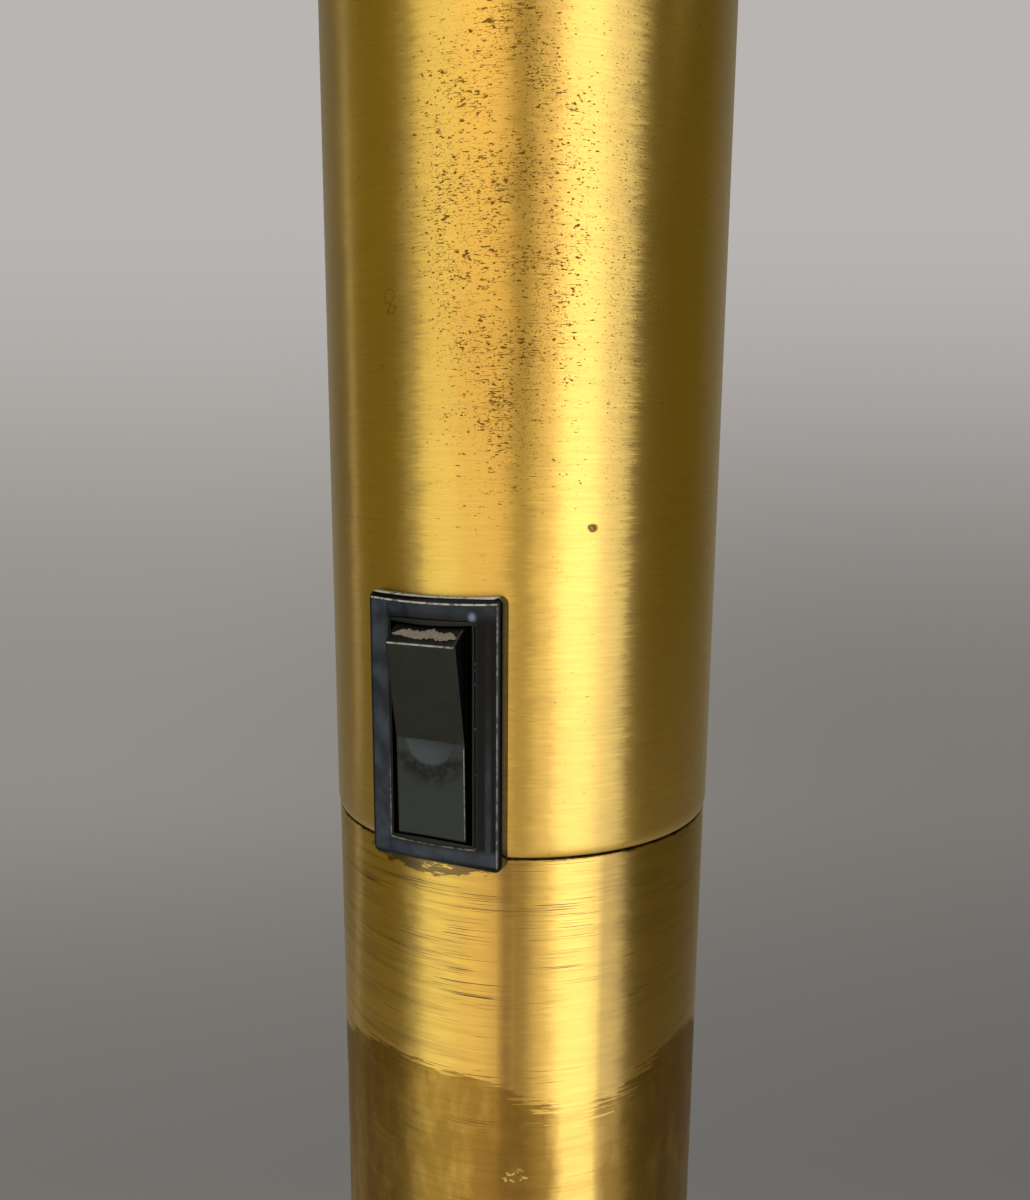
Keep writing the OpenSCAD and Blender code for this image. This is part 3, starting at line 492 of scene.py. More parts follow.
# The plate's top edge sags by 0.25 mm over its half width of 8.4 mm; the highlight lines follow
sag = put(tree, "Math MULTIPLY_ADD", [squared, -0.25 / 8.4 ** 2, v_mm])
# Painted highlights: broken pale lines just inside the top edge, along the right edge and on the
# outer top edge
painted_edge_highlights = mask_of(
    tree,
    [line_at(tree, sag, 14.95, 0.14), (off_u, 8.1, 7.8), (broken, 0.35, 0.55, 0.25, 1.0)],
    [line_at(tree, u_mm, 8.0, 0.13), (v_mm, 15.2, 14.8), (v_mm, -15.4, -15.0),
     (broken, 0.4, 0.6, 0.15, 0.4)],
    [line_at(tree, sag, 15.66, 0.12), (off_u, 8.2, 7.6), (broken, 0.3, 0.5, 0.2, 0.75)])
mouth_edges = mask_of(
    tree,
    [line_at(tree, v_mm, -13.2, 0.16), (off_u, 5.6, 5.3), (broken, 0.34, 0.6, 0.1, 1.0)],
    [line_at(tree, u_mm, -5.5, 0.11), (off_v, 13.2, 13.0), (v_mm, -3.0, -5.0),
     (broken, 0.4, 0.6, 0.2, 0.8)],
    [line_at(tree, u_mm, 5.5, 0.1), (off_v, 13.2, 13.0), (broken, 0.55, 0.64, 0.0, 0.6)])
plain = shader.inputs["Base Color"].links[0].from_socket
fill(tree, shader, {"Base Color": add_marks(
    tree, plain, (reflection_mask, "#3b424d", 0.92), (painted_glint, "#74829c", 0.85),
    (painted_edge_highlights, "#b4b2ae", 0.8), (mouth_edges, "#7d776c", 0.8))})

# %% [markdown]
# The rocker's marks are placed in its own tilted frame, and turn with it.

# %% Painted reflections, shade and highlights on the rocker
pivot_x, rest_tilt = 20.1, 6.0
at_rocker = (at_switch @ Matrix.Translation((pivot_x * mm, 0, 0))
             @ Matrix.Rotation(math.radians(rest_tilt), 4, "Y"))
tree = rocker_black.node_tree
shader = tree.nodes["Principled BSDF"]
u_mm, v_mm = switch_space(tree, at_rocker)
moon_v = put(tree, "Math ADD", [v_mm, -0.23])
from_moon = put(tree, "VectorMath LENGTH", [put(tree, "CombineXYZ", [u_mm, moon_v])])
moon_off = put(tree, "Math ADD", [from_moon.outputs["Value"], -3.22])
below_valley = (v_mm, 0.1, -0.25)
place = put(tree, "TexCoord").outputs["Object"]
rocker_noise = put(tree, "TexNoise", {"Vector": place, "Scale": 1100.0, "Detail": 6.0})
off_u = put(tree, "Math ABSOLUTE", [u_mm])
# Painted reflections: a blue-grey tint on the finger-polished lower face and a paler one in the
# half-moon; a dark painted reflection below the half-moon, broken by a noise
lower_face_reflection = mask_of(tree, [below_valley])
moon_reflection = mask_of(tree, [(moon_off, 0.05, -0.3), below_valley])
dark_reflection_under_moon = mask_of(tree, [(moon_off, -0.15, 0.25), (moon_off, 3.2, 1.0), (v_mm, -1.2, -2.4),
                        (rocker_noise, 0.35, 0.6, 0.3, 1.0)])
# Painted shade on the rocker's sides and its top end
in_shade = mask_of(tree, [(off_u, 4.34, 4.38)], [(v_mm, 11.58, 11.66)])
# Painted highlights along the rocker's top front edge and its right side edge
painted_edge_highlights = mask_of(
    tree, [line_at(tree, v_mm, 11.5, 0.13), (off_u, 4.3, 4.0), (rocker_noise, 0.35, 0.6, 0.2, 1.0)],
    [line_at(tree, u_mm, 4.3, 0.07), (v_mm, -0.3, -0.8), (v_mm, -11.4, -11.0),
     (rocker_noise, 0.35, 0.6, 0.2, 0.6)])
plain = shader.inputs["Base Color"].links[0].from_socket
fill(tree, shader, {"Base Color": add_marks(
    tree, plain, (lower_face_reflection, "#272b2c", 0.8), (moon_reflection, "#363c42", 0.85), (dark_reflection_under_moon, "#020202", 0.97),
    (in_shade, "#020202", 0.95), (painted_edge_highlights, "#a5a49f", 0.75))})
print("marked the bezel and the rocker")

# %% [markdown]
# ### The other metals
# Zinc plate, spring wire and copper are seen in small places. Each gets its colour in clouds and
# a fine unevenness in its shine.

# %% Steel, copper and the bulb's cap
def clouded(name, colour, deep, roughness, spot_mm, detail=5.0, uneven=True, **inputs):
    """A material whose tone drifts in clouds so many mm wide, and its shine too if uneven."""
    material, tree, shader = new_finish(name, colour, roughness, **inputs)
    place = put(tree, "TexCoord").outputs["Object"]
    cloud = put(tree, "TexNoise", {"Vector": place, "Scale": 1000 / spot_mm, "Detail": detail})
    tint = put(tree, "Mix", [cloud, paint(colour), paint(deep)], data_type="RGBA")
    fill(tree, shader, {"Base Color": tint})
    if uneven:
        rough = put(tree, "MapRange", [cloud, 0.3, 0.7, roughness - 0.06, roughness + 0.1])
        fill(tree, shader, {"Roughness": rough})
    return material


zinc = clouded("zinc_plated_steel", "#b9bbb8", "#9a9c9c", 0.34, 4, Metallic=1.0)
spring_steel = clouded("oiled_spring_steel", "#7c7a77", "#57534e", 0.3, 5, Metallic=1.0)
copper = clouded("sprung_copper", "#c8794f", "#93502f", 0.3, 3, Metallic=1.0)
terminal_brass = clouded("stamped_brass_terminal", "#d3ac5a", "#a27b35", 0.3, 3, Metallic=1.0)
cap_metal = clouded("nickel_plated_cap", "#c9c4b6", "#a8a294", 0.25, 5, Metallic=1.0)

# %% [markdown]
# ### Shade lining and bulb
# Spot shades are enamelled white inside to throw the light forward. A reflector bulb is frosted
# glass on its face and silvered round its cone.

# %% Enamel and glass
white_enamel = clouded("white_stove_enamel", "#e9e6dd", "#d8d3c6", 0.3, 25, 4.0, False,
                       Coat_Weight=0.3)
frosted_glass = clouded("frosted_bulb_glass", "#f1f0ea", "#e2e1da", 0.42, 18, 4.0, False,
                        Coat_Weight=0.2)
silvering = clouded("silvered_bulb_cone", "#d6d6d2", "#bcbcb8", 0.22, 12, Metallic=1.0)
lint = clouded("dried_dust_and_lint", "#81786b", "#231f1a", 0.95, 0.2, 4.0, False)

# %% [markdown]
# ### Finishes for the solids that stay as they are
# The pieces that nobody sees without taking the lamp apart, and the plain turned ones, keep the
# solid's own mesh. Each takes the finish that its slot in the record names.

# %% Give every solid its finish
finish_of = {
    "brushed_brass": fitting_brass, "worn_brass": fitting_brass, "shade_brass": fitting_brass,
    "zinc_steel": zinc, "spring_steel": spring_steel, "gloss_black": bezel_black,
    "satin_black": rocker_black, "phenolic": socket_black, "rubber": rubber, "nylon": nylon,
    "copper": copper, "terminal_brass": terminal_brass, "lead_insulation": lead_vinyl,
    "cloth_tape": cloth_tape, "bulb_cap": cap_metal, "frosted_glass": frosted_glass,
}
for node in frame["nodes"].values():
    slot_name = node.data.materials[0].name.split(".")[0]
    node.data.materials[0] = finish_of[slot_name]
frame["nodes"]["upper_tube"].data.materials[0] = column_brass
frame["nodes"]["lower_tube"].data.materials[0] = worn_brass
frame["nodes"]["switch_housing"].data.materials[0] = housing_black
print("finished", len(frame["nodes"]), "solids")

# %% [markdown]
# ## Pieces
# A mesh built here is put where its solid is, so its object stays at the origin. Faces meet
# smoothly below a given angle and keep an edge above it.

# %% Make a piece from points and faces
def add_object(name, data):
    """A new object in the scene."""
    added = bpy.data.objects.new(name, data)
    bpy.context.scene.collection.objects.link(added)
    return added


def placed_mesh(name, points, faces, place, materials=(), kinds=None):
    """A mesh of points in mm put in place, with doubled points merged and its faces outwards."""
    mesh = bpy.data.meshes.new(name)
    mesh.from_pydata([place @ (Vector(p) * mm) for p in points], [], faces)
    for material in materials:
        mesh.materials.append(material)
    if kinds:
        mesh.polygons.foreach_set("material_index", kinds)
    work = bmesh.new()
    work.from_mesh(mesh)
    bmesh.ops.remove_doubles(work, verts=work.verts, dist=1e-7)
    bmesh.ops.recalc_face_normals(work, faces=work.faces)
    work.to_mesh(mesh)
    work.free()
    return mesh


def smoothed(mesh, sharp):
    """Shades a mesh smoothly, with an edge where its faces turn by more than sharp degrees."""
    mesh.shade_smooth()
    mesh.set_sharp_from_angle(angle=math.radians(sharp))
    return mesh


def make_piece(name, body, points, faces, materials, place=Matrix(), sharp=35, kinds=None):
    """A smooth-shaded mesh object that moves with a body. kinds gives each face's material."""
    mesh = smoothed(placed_mesh(name, points, faces, place, materials, kinds), sharp)
    piece = add_object(name, mesh)
    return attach(piece, body) or piece


def baked(piece):
    """The mesh of an object with its modifiers worked out."""
    return bpy.data.meshes.new_from_object(
        piece.evaluated_get(bpy.context.evaluated_depsgraph_get()))


def subtract(piece, cutter):
    """Takes one object out of another and deletes it."""
    modifier = piece.modifiers.new("cut", "BOOLEAN")
    modifier.object = cutter
    modifier.solver = "EXACT"
    piece.data = baked(piece)
    piece.modifiers.clear()
    bpy.data.objects.remove(cutter)


def rounded(corners, steps=5):
    """An outline from corners (across, along, radius), with each corner drawn as an arc."""
    outline = []
    count = len(corners)
    for i, (x, y, radius) in enumerate(corners):
        here = Vector((x, y))
        back = Vector(corners[i - 1][:2]) - here
        on = Vector(corners[(i + 1) % count][:2]) - here
        if radius <= 0:
            outline.append(here)
            continue
        half = back.angle(on) / 2
        reach_in = min(radius / math.tan(half), 0.49 * back.length, 0.49 * on.length)
        radius = reach_in * math.tan(half)
        middle = here + (back.normalized() + on.normalized()).normalized() * radius / math.sin(half)
        start = here + back.normalized() * reach_in - middle
        end = here + on.normalized() * reach_in - middle
        turn = start.angle_signed(end)
        for k in range(steps + 1):
            outline.append(middle + Matrix.Rotation(-turn * k / steps, 2) @ start)
    return outline


def turned(outline, segments=96):
    """Points and faces of a closed outline (radius, height) turned once about Z."""
    rings = len(outline)
    points = [(r * math.cos(a), r * math.sin(a), z)
              for a in (2 * math.pi * k / segments for k in range(segments)) for r, z in outline]
    faces = [(k * rings + i, ((k + 1) % segments) * rings + i,
              ((k + 1) % segments) * rings + (i + 1) % rings, k * rings + (i + 1) % rings)
             for k in range(segments) for i in range(rings)]
    return points, faces


# %% [markdown]
# ### The column's tubes
# Each tube is its wall's outline turned about the axis, with 256 steps so that the bands of
# light stay straight-edged up close. The upper tube's end is rolled in over 2 mm. Boolean
# cutters then take out the window of the switch and the holes, as the press did.

# %% Upper and lower tube
def cut(piece, cutters):
    """Takes cutter boxes and rods out of a piece."""
    for points, faces, place in cutters:
        subtract(piece, add_object("cutter", placed_mesh("cutter", points, faces, place)))
    piece.data.set_sharp_from_angle(angle=math.radians(35))


def box_cutter(low, high):
    """Points and faces of a box between two corners."""
    points = [(x, y, z) for x in (low[0], high[0]) for y in (low[1], high[1])
              for z in (low[2], high[2])]
    return points, [(0, 1, 3, 2), (4, 6, 7, 5), (0, 4, 5, 1), (2, 3, 7, 6), (0, 2, 6, 4),
                    (1, 5, 7, 3)]


def rod_cutter(radius, start, end, segments=48):
    """Points and faces of a rod along X."""
    points = [(x, radius * math.cos(a), radius * math.sin(a)) for x in (start, end)
              for a in (2 * math.pi * k / segments for k in range(segments))]
    faces = [(k, (k + 1) % segments, segments + (k + 1) % segments, segments + k)
             for k in range(segments)]
    return points, faces + [tuple(range(segments)), tuple(range(segments, 2 * segments))]


bore_r, upper_end = 24.4, joint_z + 0.2
roll_deep, roll_high = 0.5, 2.2
roll = [(column_r - roll_deep * (1 - math.sin(t)) ** 1.5, upper_end + roll_high * (1 - math.cos(t)))
        for t in (math.pi / 2 * k / 8 for k in range(9))]
upper_outline = [(bore_r, upper_end), *roll, (column_r, top_z - 0.3), (column_r - 0.3, top_z),
                 (bore_r, top_z)]
upper_tube = make_piece("upper_tube_wall", "column", *turned(upper_outline, 256), [column_brass])
wall_in, wall_out = 10, 30
half_wide, half_high = 6.5, 14.85
window = box_cutter((wall_in, -half_wide, -half_high - 5), (wall_out, half_wide, half_high))
cut(upper_tube, [(*window, at_switch)] + [
    (*rod_cutter(5.2, 15, 30), facing(turn, z)) for z, turn, _ in heads.values()])
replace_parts(upper_tube, "upper_tube")
lower_outline = [(24.2, 5.2), (25.0, 5.0), (lower_r, 5.2), (lower_r, 918.75), (25.12, 918.93),
                 (24.95, 919.0), (24.35, 919.0), (24.35, 994.7), (24.1, 995), (23.35, 995),
                 (23.35, 917), (24.2, 917)]
lower_tube = make_piece("lower_tube_wall", "column", *turned(lower_outline, 256), [worn_brass])
window = box_cutter((wall_in, -half_wide, -half_high), (wall_out, half_wide, half_high))
cut(lower_tube, [(*window, at_switch), (*rod_cutter(5.45, -30, -15), facing(switch_turn, 46))])
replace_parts(lower_tube, "lower_tube")
print("tube walls:", len(upper_tube.data.polygons), len(lower_tube.data.polygons), "faces")

# %% [markdown]
# ### The saddle-shaped bezel
# The bezel is a plate whose back is shaped to the column and whose front is nearly flat, with
# soft outer edges that catch a thin line of light. It is a stack of rounded rectangles: up the
# outer wall, over the edge, across the face in steps and down into the opening. Its top and
# bottom edges are slightly hollow, and slope back to the column. The foot of the outer wall, the
# opening's wall and the back take the duller black of the housing.

# %% Bezel
def rounded_rectangle(width, height, radius, along=16, arc=8):
    """Points round a rectangle with round corners, as many for every size."""
    points = []
    x, y = width / 2 - radius, height / 2 - radius
    for i, (sx, sy) in enumerate(((1, 1), (-1, 1), (-1, -1), (1, -1))):
        for k in range(arc + 1):
            a = math.pi / 2 * (i + k / arc)
            points.append(Vector((sx * x + radius * math.cos(a), sy * y + radius * math.sin(a))))
        nx, ny = ((-1, 1), (-1, -1), (1, -1), (1, 1))[i]
        a = math.pi / 2 * (i + 1)
        end = Vector((nx * x + radius * math.cos(a), ny * y + radius * math.sin(a)))
        points += [points[-1].lerp(end, k / along) for k in range(1, along)]
    return points


def stacked(loops, count, closed=False):
    """Faces that join loops of so many points, and the last loop to the first if closed."""
    return [(j * count + i, j * count + (i + 1) % count,
             (j + 1) % loops * count + (i + 1) % count, (j + 1) % loops * count + i)
            for j in range(loops if closed else loops - 1) for i in range(count)]


plate_wide, plate_high = 16.8, 32
plate_round, plate_front = 39.65, 26.95
border_wide, border_high = 2.98, 2.88
edge_wide, edge_high, edge_deep, inner_r = 0.45, 0.95, 0.6, 0.14
flat_wide = border_wide - inner_r - edge_wide
flat_high = border_high - inner_r - edge_high
# A level is how far its loop lies in from the sides and from the ends, its depth under the
# front, or none at the column, and its corner radius
levels = [(0.0, 0.0, None, 1.0), (0.0, 0.0, 1.4, 1.0)]
levels += [(edge_wide * (1 - math.cos(a)), edge_high * (1 - math.cos(a)),
            edge_deep * (1 - math.sin(a)), 1.0 - 0.65 * (1 - math.cos(a)))
           for a in (math.pi / 2 * k / 8 for k in range(9))]
levels += [(edge_wide + flat_wide * k / 6, edge_high + flat_high * k / 6, 0.0, 0.35)
           for k in range(1, 6)]
levels += [(border_wide - inner_r * (1 - math.sin(a)), border_high - inner_r * (1 - math.sin(a)),
            inner_r * (1 - math.cos(a)), 0.3) for a in (math.pi / 2 * k / 3 for k in range(4))]
levels += [(border_wide, border_high, None, 0.3)]
loops = []
for wide, high, drop, corner in levels:
    loop = []
    for p in rounded_rectangle(plate_wide - 2 * wide, plate_high - 2 * high, corner):
        past_mouth = abs(p.y) - (plate_high / 2 - border_high)
        hollow = (1 - (2 * p.x / plate_wide) ** 2) * max(0, min(1, past_mouth / 2.2))
        y = p.y - 0.25 * hollow if p.y > 0 else p.y + 0.5 * hollow
        back = math.sqrt((column_r + 0.03) ** 2 - p.x ** 2)
        front = plate_front - plate_round + math.sqrt(plate_round ** 2 - p.x ** 2)
        loop.append((back if drop is None else max(back, front - drop), p.x, y))
    loops.append(loop)
kinds = [int(row in (0, len(loops) - 2, len(loops) - 1)) for row in range(len(loops))
         for _ in loops[0]]
bezel = make_piece("bezel_plate", "column", [p for loop in loops for p in loop],
                   stacked(len(loops), len(loops[0]), True), [bezel_black, housing_black],
                   at_switch, 50, kinds)
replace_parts(bezel, "switch_bezel")
print("bezel:", len(bezel.data.polygons), "faces")

# %% [markdown]
# ### The rocker
# The rocker's side outline has two long faces that lean out from a valley, round ends that
# follow its swing and a skirt that hides in the well. The outline is drawn with rounded corners
# and many points along its faces, and stands in layers across the rocker's width. The last
# layers are drawn in, which rounds the side edges. Then the half-moon for the finger is pressed
# in under the valley, as deep as a sphere of 12 mm radius cuts.

# %% Rocker
valley, half, lean = 7.0, 11.55, math.radians(4.8)
rise = valley + half * math.tan(lean)
end_r = math.hypot(rise, half)
skirt = 4.7


def end_arc(sign):
    """Points of a round end from its front edge to the skirt, or back."""
    first, last = math.atan2(half, rise), math.atan2(math.sqrt(end_r ** 2 - skirt ** 2), skirt)
    angles = [first + (last - first) * k / 6 for k in range(1, 7)]
    return [(end_r * math.cos(a), sign * end_r * math.sin(a), 0) for a in angles]


def front_face(sign, steps=60):
    """Points along a leaning face, from near its outer edge to the valley."""
    return [(valley + (rise - valley) * t, sign * half * t, 0)
            for t in (0.975 * (1 - k / steps) + 0.002 for k in range(steps + 1))]


corners = [(rise, half, 0.28), *front_face(1), *reversed(front_face(-1)), (rise, -half, 0.28),
           *end_arc(-1), (skirt, -11, 0), (2.2, -3.2, 0), (2.2, 3.2, 0), (skirt, 11, 0),
           *reversed(end_arc(1))]
side = rounded(corners)


def drawn_in(outline, by):
    """An outline moved inwards along its own normals."""
    area = sum(a.x * b.y - b.x * a.y for a, b in zip(outline, outline[1:] + outline[:1]))
    side_of = 1 if area > 0 else -1
    moved = []
    for i, p in enumerate(outline):
        ahead = (outline[(i + 1) % len(outline)] - outline[i - 1]).normalized()
        moved.append(p + Vector((-ahead.y, ahead.x)) * by * side_of)
    return moved


half_width, side_r = 4.4, 0.2
across = [(-(half_width - side_r) - side_r * math.sin(a), side_r * (1 - math.cos(a)))
          for a in (math.pi / 2 * k / 4 for k in range(4, 0, -1))]
flat = half_width - side_r
across += [(-flat + 2 * flat * k / 44, 0.0) for k in range(45)]
across += [(flat + side_r * math.sin(a), side_r * (1 - math.cos(a)))
           for a in (math.pi / 2 * k / 4 for k in range(1, 5))]
scoop_r = 12.0
scoop_x, scoop_y = valley + scoop_r - 0.5, 1.2
points = []
for u, by in across:
    for p in drawn_in(side, by):
        x = p.x
        if p.y < 0 and x > skirt + 1:
            x = min(x, scoop_x - math.sqrt(max(0, scoop_r ** 2 - (p.y - scoop_y) ** 2 - u * u)))
        points.append((x, u, p.y))
count = len(side)
faces = stacked(len(across), count)
faces += [tuple(range(count)), tuple(range(len(points) - count, len(points)))]
for radius, start, end in ((1.2, -6.3, 6.3), (2.0, -4.3, 4.3)):
    first = len(points)
    rod_points, rod_faces = rod_cutter(radius, start, end, 32)
    points += [(z, x, y) for x, y, z in rod_points]
    faces += [tuple(first + i for i in f) for f in rod_faces]
rocker = make_piece("rocker_key", "rocker", points, faces, [rocker_black], at_rocker, 50)
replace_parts(rocker, "switch_rocker")
print("rocker:", len(rocker.data.polygons), "faces")

# %% [markdown]
# A ridge of dried dust and lint has packed into the gap over the rocker's top end. It is a thin
# lumpy cord: rings round a line across the rocker, whose points a noise pushes in and out. It is
# soft, so it flattens where the rocker swings in under the bezel.

# %% Lint on the rocker's top end
lint_points = []
rings, sides = 90, 10
lint_turn, lint_r = 61.5, 0.32
for k in range(rings + 1):
    u = -4.0 + 8.1 * k / rings
    taper = min(1, 6 * k / rings + 0.1, 6 * (1 - k / rings) + 0.1)
    bulk = lint_r * (1 + 0.6 * noise.noise((u * 0.9, 0, 3))) * taper
    a = math.radians(lint_turn + 2.0 * noise.noise((u * 0.6, 5, 0)))
    middle = Vector((end_r * math.cos(a), end_r * math.sin(a)))
    out, along = Vector((math.cos(a), math.sin(a))), Vector((math.sin(a), -math.cos(a)))
    for s in range(sides):
        b = 2 * math.pi * s / sides
        rough = 1 + 0.55 * noise.noise((u * 3.1, 2.4 * math.cos(b), 2.4 * math.sin(b)))
        lift = 0.04 + 0.12 * bulk / lint_r * rough * math.cos(b)
        p = middle + out * lift + along * 1.9 * bulk * rough * math.sin(b)
        lint_points.append((p.x, u, p.y))
lint_faces = stacked(rings + 1, sides)
lint_faces += [tuple(range(sides)), tuple(range(rings * sides, (rings + 1) * sides))]
ridge = make_piece("lint_ridge", "rocker", lint_points, lint_faces, [lint], at_rocker, 80)
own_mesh(ridge)

# %% [markdown]
# ### Foot, ceiling cup and guide ring
# These are turned or spun brass. Each is an outline with its corners rounded by the radius that
# a polishing wheel leaves, turned about the column's axis.

# %% Foot flange, ceiling cup and plunger guide
foot = rounded([(4.2, 3, 0), (35, 3, 0.3), (35, 1, 0.3), (38, 1, 0.4), (38, 5, 1.3), (27.3, 5, 8),
                (27.3, 26, 0.9), (25.3, 26, 0.4), (25.3, 5, 0), (4.2, 5, 0)])
foot_flange = make_piece("foot_flange_spun", "column", *turned(foot, 128), [fitting_brass])
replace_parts(foot_flange, "foot_flange")
cup_z = 2437.2
cup = rounded([(4.2, 0, 0), (14.7, 0, 0.6), (14.7, 10, 8), (30, 10, 1.2), (30, 14, 0.7),
               (27, 14, 0.3), (27, 12, 0), (4.2, 12, 0)])
ceiling_cup = make_piece("ceiling_cup_spun", "plunger",
                         *turned([(p.x, p.y + cup_z) for p in cup], 128), [fitting_brass])
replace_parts(ceiling_cup, "ceiling_cup")
guide_z = 2287.2
guide = rounded([(12.8, -28, 0), (17.8, -28, 0.4), (17.8, 0, 0), (20.55, 0, 0.5), (20.55, 10, 2.2),
                 (12.8, 10, 0.5)])
guide_ring = make_piece("plunger_guide_turned", "extension",
                        *turned([(p.x, p.y + guide_z) for p in guide], 96), [fitting_brass])
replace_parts(guide_ring, "plunger_guide")

# %% [markdown]
# ### Ridges, vents and threads by rule
# Grip ridges stand in a ring, heat vents are a ring of holes, and a thread is a helix. Both
# rules are Geometry Nodes trees with their sizes as named inputs. The evaluated result is kept
# as a plain mesh.

# %% Geometry Nodes trees
def rule_tree(name, inputs):
    """An empty tree with named inputs (name, socket type, value) and a geometry output."""
    tree = bpy.data.node_groups.new(name, "GeometryNodeTree")
    for label, kind, value in inputs:
        socket = tree.interface.new_socket(label, in_out="INPUT", socket_type=kind)
        if value is not None:
            socket.default_value = value
    tree.interface.new_socket("Geometry", in_out="OUTPUT", socket_type="NodeSocketGeometry")
    return tree, put(tree, "NodeGroupInput").outputs


def wire_on(tree, curve, sides, radius):
    """A round wire with closed ends along a curve."""
    section = put(tree, "GeometryNodeCurvePrimitiveCircle", {"Resolution": sides, "Radius": radius})
    return put(tree, "GeometryNodeCurveToMesh", {
        "Curve": curve, "Profile Curve": section, "Fill Caps": True})


def close_tree(tree, geometry, finish):
    """Ends a tree with real geometry that has a finish."""
    real = put(tree, "GeometryNodeRealizeInstances", {"Geometry": geometry})
    done = put(tree, "GeometryNodeSetMaterial", {"Geometry": real, "Material": finish})
    put(tree, "NodeGroupOutput", [done])


ring_tree, given = rule_tree("ring_of_rods", [
    ("Rods", "NodeSocketInt", 24), ("Ring Radius", "NodeSocketFloat", 0.0075),
    ("Rod Radius", "NodeSocketFloat", 0.0005), ("Length", "NodeSocketFloat", 0.007),
    ("Finish", "NodeSocketMaterial", None)])
ring = put(ring_tree, "GeometryNodeMeshCircle", {
    "Vertices": given["Rods"], "Radius": given["Ring Radius"]})
tip = put(ring_tree, "CombineXYZ", {"Z": given["Length"]})
line = put(ring_tree, "GeometryNodeCurvePrimitiveLine", {"End": tip})
rod = wire_on(ring_tree, line, 16, given["Rod Radius"])
rods = put(ring_tree, "GeometryNodeInstanceOnPoints", {"Points": ring, "Instance": rod})
close_tree(ring_tree, rods, given["Finish"])

thread_tree, given = rule_tree("screw_thread", [
    ("Turns", "NodeSocketFloat", 4.0), ("Thread Radius", "NodeSocketFloat", 0.013),
    ("Wire Radius", "NodeSocketFloat", 0.0008), ("Height", "NodeSocketFloat", 0.014),
    ("Finish", "NodeSocketMaterial", None)])
helix = put(thread_tree, "GeometryNodeCurveSpiral", {
    "Resolution": 48, "Rotations": given["Turns"],
    "Start Radius": given["Thread Radius"], "End Radius": given["Thread Radius"],
    "Height": given["Height"]})
close_tree(thread_tree, wire_on(thread_tree, helix, 8, given["Wire Radius"]), given["Finish"])


def grown(tree, name, place, **values):
    """The plain mesh that a tree makes from its inputs, put in place as an object."""
    holder = add_object(name + "_rule", bpy.data.meshes.new(name + "_rule"))
    modifier = holder.modifiers.new("rule", "NODES")
    modifier.node_group = tree
    for item in tree.interface.items_tree:
        if item.in_out == "INPUT" and item.name.replace(" ", "_").lower() in values:
            modifier[item.identifier] = values[item.name.replace(" ", "_").lower()]
    holder.update_tag()
    mesh = baked(holder)
    bpy.data.objects.remove(holder)
    mesh.transform(place)
    return add_object(name, smoothed(mesh, 40))


along_x = Matrix.Rotation(math.radians(90), 4, "Y")

# %% [markdown]
# ### Thumbscrew
# The knob that locks the extension tube is a turned button with 24 grip ridges and a dished end.

# %% Thumbscrew
at_clamp = facing(60, 1840.2) @ along_x
knob = rounded([(0, 19.6, 0), (2.7, 19.6, 0.3), (2.95, 20.5, 0), (2.95, 32.7, 0), (5, 32.7, 0.3),
                (5, 34.4, 0.2), (7.5, 34.4, 0.7), (7.5, 42.9, 1.0), (6, 42.9, 0.5), (5, 42.1, 0.8),
                (0, 42.1, 0)])
thumbscrew = make_piece("thumbscrew_knob", "thumbscrew", *turned(knob, 72), [fitting_brass],
                        at_clamp)
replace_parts(thumbscrew, "thumbscrew")
ridges = grown(ring_tree, "thumbscrew_ridges", at_clamp @ Matrix.Translation((0, 0, 35.2 * mm)),
               rods=24, ring_radius=7.4 * mm, rod_radius=0.55 * mm, length=6.8 * mm,
               finish=fitting_brass)
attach(ridges, "thumbscrew")

# %% [markdown]
# ### Shades and bulbs
# A shade is a spun brass can with a round back, a rolled bead at its mouth, eight heat vents
# and white enamel inside. Its brushing runs round its own axis, so each shade gets its own
# brass. The bulb is a reflector lamp: a silvered cone with a frosted face.

# %% The three heads
bead = [(40.9 + 1.4 * math.cos(a), 154 + 1.4 * math.sin(a))
        for a in (math.radians(-38 + 320 * k / 22) for k in range(23))]
can = [(p.x, p.y) for p in rounded([(5.2, 24, 0), (42, 24, 20), (42, 153.1, 0)], 14)[:-1]]
lining = [(p.x, p.y) for p in rounded([(41.2, 152.6, 0), (41.2, 24.8, 19.2), (5.2, 24.8, 0)], 14)]
shade_outline = can + bead + lining[1:]
face_r, dome_high = 31.8, 12
dome_r = (face_r ** 2 + dome_high ** 2) / (2 * dome_high)
dome = [(dome_r * math.sin(a), 134 - dome_r * (1 - math.cos(a)))
        for a in (math.asin(31.2 / dome_r) * (1 - k / 14) for k in range(15))]
bulb_outline = [(p.x, p.y) for p in rounded([
    (0, 62, 0), (13.2, 62, 0.5), (13.2, 65, 1.5), (15, 68, 2), (15, 78, 9), (31.8, 113, 14),
    (31.8, 121.6, 3), dome[0] + (0,)], 6)][:-1] + dome
